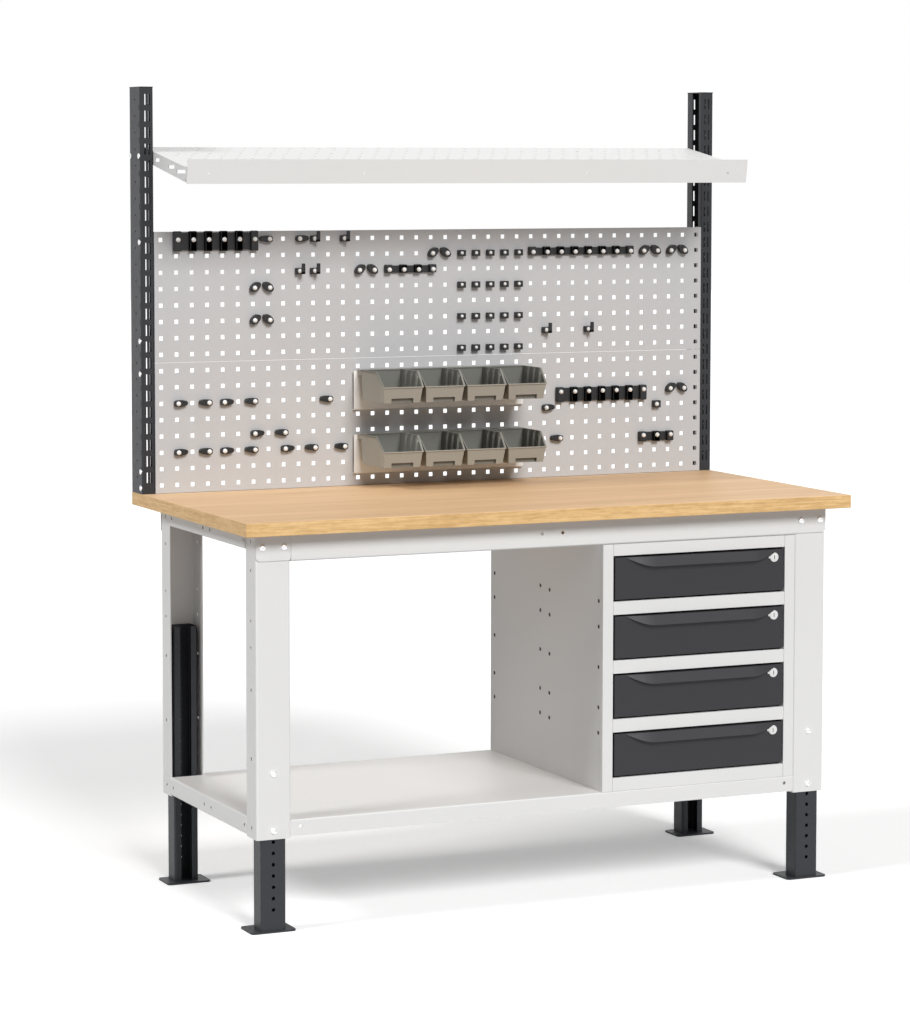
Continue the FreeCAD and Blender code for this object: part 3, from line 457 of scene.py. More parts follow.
def make_rail(node):
    low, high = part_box(node)
    side = -1 if low.x < 0 else 1
    outer = low.x if side < 0 else high.x
    tall = high.z - low.z
    path = [(RAIL_LOW_FLANGE, 0), (0, 0), (0, tall), (high.x - low.x, tall)]
    section = folded(path, RAIL_STEEL, RAIL_BEND)
    bm = bmesh.new()
    prism(bm, section, lambda a, b, y: (outer - side * a, y, low.z + b), low.y + RAIL_TAB, high.y - RAIL_TAB)
    # a tab behind the web runs on between the legs at both ends
    tab = (outer - side * RAIL_STEEL, low.y, low.z)
    block(bm, tab, (outer - side * 2 * RAIL_STEEL, high.y, high.z - RAIL_STEEL))
    rail = new_piece(node + "_painted", bm)
    holes = [(outer, y, low.z + RAIL_HOLE_UP) for y in RAIL_HOLES]
    punch(rail, holes, RAIL_HOLE, 12 * RAIL_STEEL, ALONG_X, light_grey)
    fit(smooth_bends(rail), "root", "light_grey_paint", node)


for side in ("left", "right"):
    make_rail("side_rail_top_" + side)
    make_rail("side_rail_low_" + side)

# Lower shelf. One sheet is folded down at the front and the back and lies between the legs, with a
# screw hole near each end of its front edge, and a seam and three small screws near each end of its top.
DECK_SHEET = 1.5 * MM
DECK_BEND = 3 * MM
DECK_HOLE = 8 * MM
DECK_HOLE_IN = 23 * MM
DECK_HOLE_UP = 20.5 * MM
DECK_SEAM = 636.5 * MM
SEAM_WIDE = 1.2 * MM
SEAM_DEEP = 0.8 * MM
SEAM_IN = 12 * MM
DECK_SCREW = 4 * MM
DECK_SCREW_OFF = 670 * MM
DECK_SCREWS = [place * MM for place in (28, -21.5, -71)]


def cut_block(piece, corner, opposite):
    """Cuts a box out of the piece."""
    bm = bmesh.new()
    block(bm, corner, opposite)
    combine(piece, "DIFFERENCE", bm)


low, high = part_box("lower_shelf")
path = [(high.y, low.z), (high.y, high.z), (low.y, high.z), (low.y, low.z)]
section = folded(path, DECK_SHEET, DECK_BEND)
deck = swept("lower_shelf_painted", section, lambda a, b, x: (x, a, b), low.x, high.x)
holes = [(sign * (high.x - DECK_HOLE_IN), low.y, low.z + DECK_HOLE_UP) for sign in (-1, 1)]
punch(deck, holes, DECK_HOLE, 6 * DECK_SHEET, ALONG_Y, light_grey)
for x in (-DECK_SEAM, DECK_SEAM):
    corner = (x - SEAM_WIDE / 2, low.y + SEAM_IN, high.z - SEAM_DEEP)
    cut_block(deck, corner, (x + SEAM_WIDE / 2, high.y - SEAM_IN, high.z + MM))
screws = [(sign * DECK_SCREW_OFF, y, high.z) for sign in (-1, 1) for y in DECK_SCREWS]
punch(deck, screws, DECK_SCREW, 6 * DECK_SHEET, ALONG_Z, light_grey, steps=2)
fit(smooth_bends(deck), "root", "light_grey_paint", "lower_shelf")

# Worktop. A board of beech plies, 30 mm thick, sanded and oiled, with its edges broken by hand. The
# plies show as streaks along the edges.
TOP_EDGE = 1.2 * MM
PLY = 1.9 * MM
BAND_TONES = {0.30: (0.710, 0.465, 0.255), 0.50: (0.785, 0.525, 0.300), 0.72: (0.855, 0.595, 0.360)}
LINE_TONES = {0.34: (0.80, 0.74, 0.66), 0.52: (1.0, 1.0, 1.0), 0.75: (1.05, 1.04, 1.02)}
PORE_TONES = {0.34: (0.86, 0.80, 0.72), 0.44: (1.0, 1.0, 1.0)}
PLY_TONES = {0.36: (0.680, 0.430, 0.190), 0.50: (0.800, 0.520, 0.240), 0.66: (0.880, 0.610, 0.310)}
SPOT_TONES = {0.38: (0.90, 0.86, 0.78), 0.58: (1.03, 1.02, 1.0)}


def beech():
    """Beech: long grain with fine pores and broad bands on the faces, and thin plies along the edges."""
    material, tree, shader = new_material("oiled beech")
    where = add_node(tree, "ShaderNodeTexCoord").outputs["Object"]

    def noise(stretch, scale, detail, rough=0.55, distortion=0.0):
        placed = add_node(tree, "ShaderNodeMapping", {"Vector": where, "Scale": stretch})
        return add_node(tree, "ShaderNodeTexNoise", {
            "Vector": placed, "Scale": scale, "Detail": detail, "Roughness": rough, "Distortion": distortion,
        })

    def ramp(value, stops):
        made = add_node(tree, "ShaderNodeValToRGB", {"Fac": value})
        for extra in range(len(stops) - 2):
            made.color_ramp.elements.new(0.5)
        for element, (place, colour) in zip(made.color_ramp.elements, stops.items()):
            element.position = place
            element.color = (*colour, 1)
        return made

    def blend(kind, factor, a, b):
        made = add_node(tree, "ShaderNodeMix", data_type="RGBA", blend_type=kind)
        link_inputs(tree, made, {"Factor": factor, "A": a, "B": b})
        return made.outputs["Result"]

    bands = noise((0.35, 5.5, 5.5), 2.2, 3.0, distortion=0.35)
    grain = noise((1.2, 60.0, 60.0), 3.0, 6.0, rough=0.6, distortion=0.25)
    pores = noise((14.0, 420.0, 420.0), 2.2, 2.0)
    face = blend("MULTIPLY", 0.75, ramp(bands, BAND_TONES), ramp(grain, LINE_TONES))
    face = blend("MULTIPLY", 0.55, face, ramp(pores, PORE_TONES))
    # plies: bands that follow the height, blotched along the edge
    ply_wave = noise((3.0, 3.0, 1 / PLY / 6), 3.0, 3.0, rough=0.7)
    blotch = noise((26.0, 26.0, 90.0), 1.6, 4.0)
    edge = blend("MULTIPLY", 0.8, ramp(ply_wave, PLY_TONES), ramp(blotch, SPOT_TONES))
    # a face that looks up or down shows the grain, and the others show the plies
    normal = add_node(tree, "ShaderNodeNewGeometry").outputs["True Normal"]
    split = add_node(tree, "ShaderNodeSeparateXYZ", {0: normal})
    level = add_node(tree, "ShaderNodeMath", {0: split.outputs["Z"]}, operation="ABSOLUTE")
    choose = add_node(tree, "ShaderNodeMapRange", {"Value": level, "From Min": 0.55, "From Max": 0.8})
    link_inputs(tree, shader, {
        "Specular IOR Level": 0.3,
        "Base Color": blend("MIX", choose, edge, face),
        "Roughness": ranged(tree, grain, 0.42, 0.58),
        "Normal": relief(tree, pores, 0.25),
    })
    return material


bm = bmesh.new()
block(bm, *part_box("worktop"), edge=TOP_EDGE, segments=3)
board = new_piece("worktop_board", bm, beech())
fit(smooth_bends(board, 50), "root", "beech_plywood", "worktop")

# Cabinet shell. A box of 1.2 mm steel, folded round the drawers and open to the front, hangs between
# the beams and the lower shelf. Holes run down both side walls, and a black disc behind each is painted
# shade for the depth of the hole.
SHELL_SHEET = 1.2 * MM
SHELL_BEND = 2.4 * MM
SHELL_GAP = 0.1 * MM
SHELL_HOLE = 10 * MM
SHELL_HOLE_LEVELS = [level * MM for level in (682, 623.5, 531, 438.5, 380)]
SHELL_HOLE_PLACES = [place * MM for place in (252, -1, -50, -303.5)]
STEPPED_COLUMN = 2
STEPPED_DOWN = 4.5 * MM
DISC = 5.2 * MM
DISC_IN = 0.84 * MM
OPENING_MIDDLE = 380 * MM
hole_shade_paint = powder_coat("plug rubber", (0.012, 0.012, 0.012), roughness=0.6)

low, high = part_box("cabinet_shell")
walls = [(high.x, low.y), (high.x, high.y), (low.x, high.y), (low.x, low.y)]
bm = bmesh.new()
prism(bm, folded(walls, SHELL_SHEET, SHELL_BEND), lambda a, b, z: (a, b, z), low.z, high.z)
inside = SHELL_SHEET + SHELL_GAP
for level in (low.z, high.z - SHELL_SHEET):
    block(bm, (low.x + inside, low.y, level), (high.x - inside, high.y - inside, level + SHELL_SHEET))
shell = new_piece("cabinet_shell_painted", bm)
holes = []
for x in (low.x, high.x):
    for column, y in enumerate(SHELL_HOLE_PLACES):
        down = STEPPED_DOWN if column == STEPPED_COLUMN else 0
        holes += [(x, y, level - down) for level in SHELL_HOLE_LEVELS]
punch(shell, holes, SHELL_HOLE, 6 * SHELL_SHEET, ALONG_X, light_grey)
fit(smooth_bends(shell), "root", "light_grey_paint", "cabinet_shell")
# black discs just inside the holes: painted shade that makes the holes look deep and dark
bm = bmesh.new()
for x, y, level in holes:
    inward = DISC_IN if x < OPENING_MIDDLE else -DISC_IN
    spot = Matrix.Translation((x + inward, y, level)) @ Matrix.Rotation(math.pi / 2, 4, "Y")
    bmesh.ops.create_cone(
        bm, cap_ends=True, segments=16, radius1=DISC, radius2=DISC, depth=SHELL_SHEET, matrix=spot,
    )
fit(new_piece("hole_plugs", bm, hole_shade_paint), "root", "holder_plastic")

# Face frame. Two stiles and five rails of folded sheet are welded into a frame in front of the shell,
# with a fine seam where each rail meets a stile. It leaves four openings for the drawers.
FRAME_EDGE = 1 * MM
SEAM = 0.5 * MM
SEAM_FLOOR = 1.5 * MM
OPENING_WIDE = 446.5 * MM
OPENING_TALL = 104.5 * MM
OPENING_FLOORS = [level * MM for level in (681, 546.3, 411.6, 276.9)]

low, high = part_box("cabinet_face_frame")
opening_low = OPENING_MIDDLE - OPENING_WIDE / 2
opening_high = OPENING_MIDDLE + OPENING_WIDE / 2
levels = [high.z]
for floor_level in OPENING_FLOORS:
    levels += [floor_level + OPENING_TALL, floor_level]
levels.append(low.z)
bm = bmesh.new()
block(bm, low, (opening_low, high.y, high.z), edge=FRAME_EDGE)
block(bm, (opening_high, low.y, low.z), high, edge=FRAME_EDGE)
for top, bottom in zip(levels[::2], levels[1::2]):
    block(bm, (opening_low + SEAM, low.y, bottom), (opening_high - SEAM, high.y, top), edge=FRAME_EDGE)
    floor_of_seams = (opening_low - SEAM, low.y + SEAM_FLOOR, bottom + MM)
    block(bm, floor_of_seams, (opening_high + SEAM, high.y - MM, top - MM))
face_frame = new_piece("face_frame_painted", bm, light_grey)
fit(smooth_bends(face_frame), "root", "light_grey_paint", "cabinet_face_frame")

# Slides and their posts. Four upright posts carry the outer members of four pairs of telescopic slides;
# everything is zinc-plated steel and hidden when the drawers are shut.
SLIDE_EDGE = 0.2 * MM
SAME_PLACE = 0.01 * MM
SAME_PLANE = math.radians(1)
SHARP = math.radians(30)


def zinc(name, colour, roughness):
    """Zinc plating: bright, slightly blue, with faint rolled streaks."""
    material, tree, shader = new_material(name)
    where = add_node(tree, "ShaderNodeTexCoord").outputs["Object"]
    placed = add_node(tree, "ShaderNodeMapping", {"Vector": where, "Scale": (6, 60, 200)})
    streak = add_node(tree, "ShaderNodeTexNoise", {"Vector": placed, "Scale": 4, "Detail": 4})
    link_inputs(tree, shader, {
        "Metallic": 1,
        "Base Color": toned(tree, streak, colour, 0.92, 1.06),
        "Roughness": ranged(tree, streak, roughness - 0.1, roughness + 0.12),
    })
    return material


slide_zinc = zinc("slide zinc", (0.62, 0.64, 0.66), 0.38)


def dressed(node, body, slot, material, edge):
    """The shape of a node with its sharp edges broken."""
    bm = bmesh.new()
    bm.from_mesh(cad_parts[node].data)
    bmesh.ops.remove_doubles(bm, verts=bm.verts, dist=SAME_PLACE)
    bmesh.ops.dissolve_limit(bm, angle_limit=SAME_PLANE, verts=bm.verts, edges=bm.edges)
    sharp = [e for e in bm.edges if len(e.link_faces) == 2 and e.calc_face_angle(0) > SHARP]
    bmesh.ops.bevel(bm, geom=sharp, offset=edge, segments=1, profile=0.5, affect="EDGES", clamp_overlap=True)
    fit(smooth_bends(new_piece(node + "_finished", bm, material)), body, slot, node)


dressed("slide_posts", "root", "zinc_plated_steel", slide_zinc, SLIDE_EDGE)
dressed("slide_outer", "root", "zinc_plated_steel", slide_zinc, SLIDE_EDGE)
for number in (1, 2, 3, 4):
    middle = "slide_middle_%d" % number
    dressed(middle, middle, "zinc_plated_steel", slide_zinc, SLIDE_EDGE)
    dressed("slide_inner_%d" % number, "drawer_%d" % number, "zinc_plated_steel", slide_zinc, SLIDE_EDGE)

# Drawer boxes. Each is a tray of folded sheet with a low front wall, painted anthracite like its front.
BOX_EDGE = 0.3 * MM
drawer_paint = powder_coat("drawer paint", (0.026, 0.026, 0.030), roughness=0.42, tone=0.05)
for number in (1, 2, 3, 4):
    dressed("drawer_box_%d" % number, "drawer_%d" % number, "anthracite_paint", drawer_paint, BOX_EDGE)

# Drawer fronts. A sheet panel is folded back at its edges, and a pull lip leans out of its upper part
# and sweeps up into the face at both ends. It is powder coated anthracite.
FRONT_EDGE = 1.1 * MM
FRONT_PLAY = 1.5 * MM
LIP_OUT = 14 * MM
LIP_END = 200 * MM
LIP_FLAT = 125 * MM
LIP_ASIDE = 8 * MM
LIP_STEPS = 96
# the lip's section in mm, out of the panel and down from its top, along the lip's middle and at its ends
LIP_SECTION = [
    (-0.2, 0), (7.7, 0.5), (9.8, 8.08), (11.9, 15.44), (14, 22.9), (12.74, 23.2), (7.84, 12.32), (2.98, 5.04),
    (-0.2, 2.6),
]
LIP_END_SECTION = [
    (-0.2, 0), (0, 0), (0, 0.6), (0, 0.7), (0, 0.9), (0, 1.2), (0, 2.2), (-0.1, 2.4), (-0.2, 2.6),
]


def make_front(number):
    node = "drawer_front_%d" % number
    low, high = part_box(node)
    face = low.y + LIP_OUT
    play = Vector((FRONT_PLAY, 0, FRONT_PLAY))
    bm = bmesh.new()
    block(bm, Vector((low.x, face, low.z)) + play, high - play, edge=FRONT_EDGE, segments=3)
    rows = []
    for step in range(LIP_STEPS + 1):
        x = LIP_END * (2 * step / LIP_STEPS - 1)
        share = min((LIP_END - abs(x)) / (LIP_END - LIP_FLAT), 1.0)
        reach = math.sin(math.pi / 2 * max(share, 0.0))
        row = []
        for full, none in zip(LIP_SECTION, LIP_END_SECTION):
            out, down = Vector(none).lerp(Vector(full), reach) * MM
            row.append((OPENING_MIDDLE + LIP_ASIDE + x, face - out, high.z - FRONT_PLAY - down))
        rows.append(row)
    skin(bm, rows)
    front = new_piece(node + "_painted", bm, drawer_paint)
    fit(smooth_bends(front, 30), "drawer_%d" % number, "anthracite_paint", node)


for number in (1, 2, 3, 4):
    make_front(number)

# Locks. Each drawer has a cam lock: a pale bezel with a dark ring round it, a turning plug with a key
# slot, and a small tab that points left while the drawer is shut. The key slot is not cut: a thin dark box
# on the plug is painted shade for it.
LOCK_X = 573.5 * MM
LOCK_UP = 82 * MM
# outlines that are turned about the lock's axis: radius, and depth behind the lock's front, in mm
BEZEL = [(11, 3.8), (11, 1), (10, 0), (7.6, 0), (7.6, 0.8), (0.1, 0.8)]
PLUG = [(7.2, 0.8), (7.2, 0.2), (6.8, 0), (0.1, 0)]
BARREL = [(8.4, 3.8), (8.4, 26), (0.1, 26)]
RING = [(12.6, 4), (12.6, 3.65), (10.6, 3.6)]
# boxes, by two opposite corners in mm from the middle of the lock's front
TAB = (-14.5, 1.2, -2.6), (-9, 4, 2.6)
CAM = (-32, 28, -6), (6, 30, 6)
KEY_SLOT = (-0.9, -0.05, -4.6), (0.9, 0.5, 4.6)
lock_metal = powder_coat("lock metal", (0.84, 0.84, 0.83), roughness=0.3, tone=0.01)
ring_and_slot_shade = powder_coat("lock ring", (0.020, 0.020, 0.022), roughness=0.4)


def lathe(bm, profile, axis, segments=48):
    """Adds a solid turned about a line along Y through the axis; the profile lists (radius, depth) in mm."""
    ways = [2 * math.pi * i / segments for i in range(segments)]
    skin(bm, [
        [axis + Vector((radius * math.cos(way), deep, radius * math.sin(way))) * MM for way in ways]
        for radius, deep in profile
    ])


def block_at(bm, origin, corners, edge=0.0):
    """Adds a box whose two opposite corners are given in mm from an origin."""
    corner, opposite = corners
    block(bm, origin + Vector(corner) * MM, origin + Vector(opposite) * MM, edge=edge * MM)


for number, floor_level in enumerate(OPENING_FLOORS, 1):
    node = "lock_%d" % number
    low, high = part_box(node)
    axis = Vector((LOCK_X, low.y, floor_level + LOCK_UP))
    bm = bmesh.new()
    lathe(bm, BEZEL, axis)
    lathe(bm, PLUG, axis)
    lathe(bm, BARREL, axis, 24)
    block_at(bm, axis, TAB, edge=0.8)
    block_at(bm, axis, CAM, edge=0.4)
    bezel = new_piece("lock_%d_face" % number, bm, lock_metal)
    fit(smooth_bends(bezel, 40), node, "lock_metal", node)
    # a thin dark box on the plug's face stands for the key slot: painted shade in place of a cut
    bm = bmesh.new()
    block_at(bm, axis, KEY_SLOT)
    lathe(bm, RING, axis)
    dark = new_piece("lock_%d_slot" % number, bm, ring_and_slot_shade)
    fit(smooth_bends(dark, 40), node, "lock_metal")

# Uprights. A lipped channel stands on each end of the worktop, open to the inside. Twin columns of slots
# take the hooks of panels and arms. They are powder coated dark grey.
UPRIGHT_STEEL = 2 * MM
UPRIGHT_BEND = 3.5 * MM
UPRIGHT_LIP = 28 * MM
UPRIGHT_SHORT_LIP = 14 * MM
GRID = 38 * MM
SLOT_LEVEL = 1513.5 * MM
SLOT_ROWS = range(-15, 9)
SLOT_COLUMNS = (12 * MM, 22 * MM)
SLOT = (4.5 * MM, 25 * MM)
SLOT_CORNER = 1.2 * MM
WEB_HOLE = 5 * MM
WEB_HOLE_IN = 36 * MM
WEB_DASH = (14 * MM, 3 * MM)
WEB_DASH_IN = 7 * MM
WEB_DASH_CORNER = 1 * MM
CAP_TALL = 2.6 * MM
CAP_EDGE = 0.8 * MM
upright_paint = powder_coat("upright paint", (0.019, 0.020, 0.024), roughness=0.45, tone=0.05)
cap_plastic = powder_coat("cap plastic", (0.012, 0.012, 0.013), roughness=0.45)

for node in ("upright_left", "upright_right"):
    low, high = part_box(node)
    side = -1 if low.x < 0 else 1
    outer = low.x if side < 0 else high.x
    wide = high.x - low.x
    deep = high.y - low.y
    front_lip, rear_lip = (UPRIGHT_LIP, UPRIGHT_SHORT_LIP) if side < 0 else (UPRIGHT_SHORT_LIP, UPRIGHT_LIP)
    path = [(wide, deep - rear_lip), (wide, deep), (0, deep), (0, 0), (wide, 0), (wide, front_lip)]
    section = folded(path, UPRIGHT_STEEL, UPRIGHT_BEND)
    top = high.z - CAP_TALL
    upright = swept(node + "_painted", section, lambda a, b, z: (outer - side * a, low.y + b, z), low.z, top)
    levels = [SLOT_LEVEL + GRID * row for row in SLOT_ROWS]
    slots = [(outer - side * x, (low.y + high.y) / 2, level) for level in levels for x in SLOT_COLUMNS]
    punch(upright, slots, SLOT, 2 * deep, ALONG_Y, upright_paint, corner=SLOT_CORNER, steps=2)
    rounds = [(outer, low.y + WEB_HOLE_IN, level) for level in levels]
    punch(upright, rounds, WEB_HOLE, 6 * UPRIGHT_STEEL, ALONG_X, upright_paint, steps=3)
    dashes = [(outer, low.y + WEB_DASH_IN, level + GRID / 2) for level in levels[:-1]]
    punch(
        upright, dashes, WEB_DASH, 6 * UPRIGHT_STEEL, ALONG_X, upright_paint, corner=WEB_DASH_CORNER, steps=2,
    )
    fit(smooth_bends(upright), "root", "anthracite_paint", node)
    bm = bmesh.new()
    block(bm, (low.x, low.y, top), high, edge=CAP_EDGE)
    fit(smooth_bends(new_piece(node + "_cap", bm, cap_plastic)), "root", "holder_plastic")

# Perforated panels. Two sheets, folded back along their sides, carry square holes on a 38 mm grid for
# hooks and holders. They hang between the uprights.
PANEL_SHEET = 1.5 * MM
PANEL_BEND = 2.5 * MM
PANEL_FOLD = 14 * MM
PANEL_PLAY = 0.3 * MM
SQUARE = 10 * MM
SQUARE_CORNER = 0.8 * MM
FIRST_COLUMN = -703 * MM
COLUMNS = 38
TOP_ROW = 1494.5 * MM
ROWS = 16
panel_grey = powder_coat("panel grey paint", (0.55, 0.55, 0.56), roughness=0.5, tone=0.02)

for node in ("panel_upper", "panel_lower"):
    low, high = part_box(node)
    deep = high.y - low.y
    section = folded([(low.x, deep), (low.x, 0), (high.x, 0), (high.x, deep)], PANEL_SHEET, PANEL_BEND)
    bottom = low.z + PANEL_PLAY
    top = high.z - PANEL_PLAY
    bm = bmesh.new()
    prism(bm, section, lambda a, b, z: (a, low.y + b, z), bottom, top)
    for level in (bottom, top - PANEL_SHEET):
        fold = (low.x + 2 * PANEL_SHEET, low.y + PANEL_SHEET / 2, level)
        block(bm, fold, (high.x - 2 * PANEL_SHEET, low.y + PANEL_FOLD, level + PANEL_SHEET))
    panel = new_piece(node + "_painted", bm)
    holes = []
    for level in [TOP_ROW - GRID * row for row in range(ROWS)]:
        if low.z < level < high.z:
            holes += [(FIRST_COLUMN + GRID * column, low.y, level) for column in range(COLUMNS)]
    punch(panel, holes, SQUARE, 6 * PANEL_SHEET, ALONG_Y, panel_grey, corner=SQUARE_CORNER, steps=2)
    fit(smooth_bends(panel), "root", "panel_grey_paint", node)

# Upper shelf. A perforated sheet with a tall fascia in front and a fold behind slopes down to the
# front between two slotted arms, which hook into the uprights.
SHELF_STEEL = 1.5 * MM
SHELF_BEND = 2.5 * MM
SHELF_TILT = math.radians(9.1)
SHELF_FRONT = 71 * MM
SHELF_LEVEL = 1661 * MM
SHELF_DEEP = 303 * MM
FASCIA_UP = 20 * MM
FASCIA_DOWN = 36 * MM
REAR_FOLD = 20 * MM
SHELF_HOLE = 10 * MM
SHELF_HOLE_FIRST = 18 * MM
SHELF_HOLE_ROWS = 8
SHELF_HOLE_COLUMNS = range(-18, 19)
SHELF_HOLE_MARGIN = 12 * MM
FASCIA_HOLE = 5 * MM
FASCIA_HOLES = [place * MM for place in (-666, -286, 286, 666)]
FASCIA_HOLE_DOWN = 12.5 * MM
ARM_STEEL = 2 * MM
ARM_GAP = 0.2 * MM
ARM_FRONT_TALL = 34 * MM
ARM_REAR_TALL = 30 * MM
# slots of an arm: where each starts along the slope, and its length
ARM_SLOTS = [(12 * MM, 58 * MM), (86 * MM, 40 * MM), (188 * MM, 30 * MM)]
ARM_SLOT_TALL = 8 * MM
ARM_SLOT_DOWN = 15 * MM
ARM_SLOT_CORNER = 1.5 * MM
ARM_SCREW = 4.5 * MM
ARM_SCREWS = [(9 * MM, -28 * MM), (240 * MM, -8 * MM)]
shelf_paint = powder_coat("shelf paint", (0.82, 0.82, 0.815), roughness=0.5, tone=0.015)


def on_slope(x, along, up):
    """A point of the shelf: along its slope from the front edge, and up from its surface."""
    cosine, sine = math.cos(SHELF_TILT), math.sin(SHELF_TILT)
    return (x, SHELF_FRONT + along * cosine - up * sine, SHELF_LEVEL + along * sine + up * cosine)


def along_slope(name, outline, start, end):
    """A new object: an outline on the slope that is swept along X."""
    return swept(name, outline, lambda a, b, x: on_slope(x, a, b), start, end)


low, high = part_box("upper_shelf")
inner = high.x - ARM_STEEL - ARM_GAP
section = folded([(SHELF_DEEP, -REAR_FOLD), (SHELF_DEEP, 0), (0, 0)], SHELF_STEEL, SHELF_BEND)
tray = along_slope("tray", section, -inner, inner)
holes = []
for row in range(SHELF_HOLE_ROWS):
    shift = GRID / 2 if row % 2 else 0
    for x in [column * GRID + shift for column in SHELF_HOLE_COLUMNS]:
        if abs(x) < inner - SHELF_HOLE_MARGIN:
            holes.append(on_slope(x, SHELF_HOLE_FIRST + row * GRID, 0))
punch(tray, holes, SHELF_HOLE, 12 * SHELF_STEEL, (SHELF_TILT, 0, 0), shelf_paint, steps=3)
outline = [(-SHELF_STEEL, -FASCIA_DOWN), (0, -FASCIA_DOWN), (0, FASCIA_UP), (-SHELF_STEEL, FASCIA_UP)]
fascia = along_slope("fascia", outline, -high.x, high.x)
holes = [on_slope(x, 0, -FASCIA_HOLE_DOWN) for x in FASCIA_HOLES]
punch(fascia, holes, FASCIA_HOLE, 12 * SHELF_STEEL, (math.pi / 2 + SHELF_TILT, 0, 0), shelf_paint)
bm = taken_back(tray)
bm.from_mesh(fascia.data)
bpy.data.objects.remove(fascia)
tray = new_piece("upper_shelf_painted", bm, shelf_paint)
fit(smooth_bends(tray), "root", "panel_grey_paint", "upper_shelf")

for node in ("shelf_arm_left", "shelf_arm_right"):
    low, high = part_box(node)
    outline = [(ARM_GAP, -ARM_FRONT_TALL), (SHELF_DEEP, -ARM_REAR_TALL), (SHELF_DEEP, 0), (ARM_GAP, 0)]
    arm = along_slope(node + "_painted", outline, low.x, high.x)
    middle = (low.x + high.x) / 2
    through = (SHELF_TILT, math.pi / 2, 0)
    for start, length in ARM_SLOTS:
        place = on_slope(middle, start + length / 2, -ARM_SLOT_DOWN)
        slot = (ARM_SLOT_TALL, length)
        punch(arm, [place], slot, 6 * ARM_STEEL, through, shelf_paint, corner=ARM_SLOT_CORNER, steps=2)
    screws = [on_slope(middle, along, up) for along, up in ARM_SCREWS]
    punch(arm, screws, ARM_SCREW, 6 * ARM_STEEL, ALONG_X, shelf_paint, steps=3)
    fit(smooth_bends(arm), "root", "panel_grey_paint", node)

# Bin rails. Two folded white plates stand off the panels, and the bins hook over their upper edges.
RAIL_PLATE = 1.5 * MM
RAIL_PLATE_BEND = 2.5 * MM
RAIL_FOLD = 8 * MM
white_paint = powder_coat("white paint", (0.92, 0.92, 0.91), roughness=0.4, tone=0.01)

for node in ("bin_rail_upper", "bin_rail_lower"):
    low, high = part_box(node)
    section = folded([(RAIL_FOLD, 0), (0, 0), (0, high.z - low.z)], RAIL_PLATE, RAIL_PLATE_BEND)
    bm = bmesh.new()
    prism(bm, section[::-1], lambda a, b, x: (x, low.y + a, low.z + b), low.x, high.x)
    fit(smooth_bends(new_piece(node + "_painted", bm, white_paint)), "root", "white_paint", node)

# Storage bins. Each is moulded in one piece: pleated sides, a low leaning front with a label recess, a
# rim all round, and a ledge and hook behind that hang over a rail. Grey-green plastic; the inner faces and
# the recess are painted darker, as painted shade.
BIN_WALL = 2 * MM
BIN_TALL = 72 * MM
BIN_BACK = 286 * MM
BIN_LONG = 151.5 * MM
BIN_LEDGE = 20 * MM
BIN_RUN = BIN_LONG - BIN_LEDGE
BIN_LEAN = 9 * MM
BIN_FRONT_TALL = 38 * MM
BIN_SLOPE = 36 * MM
BIN_FLOOR_FRONT = 45.6 * MM
BIN_FLOOR_BACK = 48 * MM
BIN_SPREAD_FRONT = 7.5 * MM
BIN_SPREAD = 4 * MM
BIN_BACK_LEAN = 2.5 * MM
BIN_LEVELS = (0.0, 0.3, 0.6, 0.86, 1.0)
PLEAT = 4.5 * MM
PLEATS = [place * MM for place in (26, 58, 90)]
PLEAT_STEP = 32 * MM
PLEAT_RISE = 4 * MM
PLEAT_BELOW = 4 * MM
RIM = 1.9 * MM
RIM_IN = 1.33 * MM
RIM_END = 1.71 * MM
RIM_TALL = 2.6 * MM
RIM_PROUD = 0.2 * MM
RIM_STATIONS = (0.0, 0.05, 0.12, 0.2, 0.274, 0.34, 0.5, 0.75, 1.0)
LABEL_WIDE = 56 * MM
LABEL_TALL = 11 * MM
LABEL_DEEP = 8 * MM
LABEL_WEB = 2.2 * MM
LABEL_WEB_UP = 0.3 * MM
LABEL_LAP = 0.6 * MM
LEDGE_THICK = 3 * MM
LEDGE_EDGE = 0.6 * MM
RIB_TALL = 14 * MM
RIB_THICK = 2 * MM
RIB_EDGE = 0.4 * MM
HOOK_WIDE = 60 * MM
HOOK_TALL = 12 * MM
HOOK_THICK = 1.8 * MM
HOOK_LAP = 2 * MM
MOULD_EDGE = 0.5 * MM
INSIDE_FACE = 20 * MM * MM
BIN_MIDDLE = Vector((0, BIN_LONG * 0.45, BIN_TALL * 0.6))
BIN_WEB_FROM = BIN_LONG * 0.08
bin_plastic = powder_coat("bin plastic", (0.335, 0.325, 0.290), roughness=0.5, tone=0.03)
# the same plastic painted darker: painted shade for the bins' insides and their label recesses
bin_painted_shade = powder_coat("bin plastic inside", (0.185, 0.185, 0.165), roughness=0.6, tone=0.03)


def bin_side(along, up, pleated):
    """Half width of a bin at a place along it (0 at its front) and above its floor."""
    share = along / BIN_RUN
    floor_half = BIN_FLOOR_FRONT + (BIN_FLOOR_BACK - BIN_FLOOR_FRONT) * share
    spread = BIN_SPREAD_FRONT + (BIN_SPREAD - BIN_SPREAD_FRONT) * share
    fold = 0.0
    for start in PLEATS:
        if start <= along < start + PLEAT_STEP:
            since = along - start
            fold = PLEAT * min(since / PLEAT_RISE, (PLEAT_STEP - since) / (PLEAT_STEP - PLEAT_RISE))
    return floor_half + spread * up / BIN_TALL - fold * pleated


def bin_top(along):
    """Height of the rim: low at the front, and then a slope up to the full height."""
    return min(BIN_TALL, BIN_FRONT_TALL + (BIN_TALL - BIN_FRONT_TALL) * along / BIN_SLOPE)


def bin_stations():
    """Shares of a bin's run at which its walls bend, from its front to its ledge."""
    stations = [0.0, 0.08, 0.13, 0.274, (PLEATS[-1] + PLEAT_STEP) / BIN_RUN, 1.0]
    for start in PLEATS:
        stations += [(start + into) / BIN_RUN for into in (0, PLEAT_RISE, PLEAT_STEP / 2)]
    return sorted(stations)


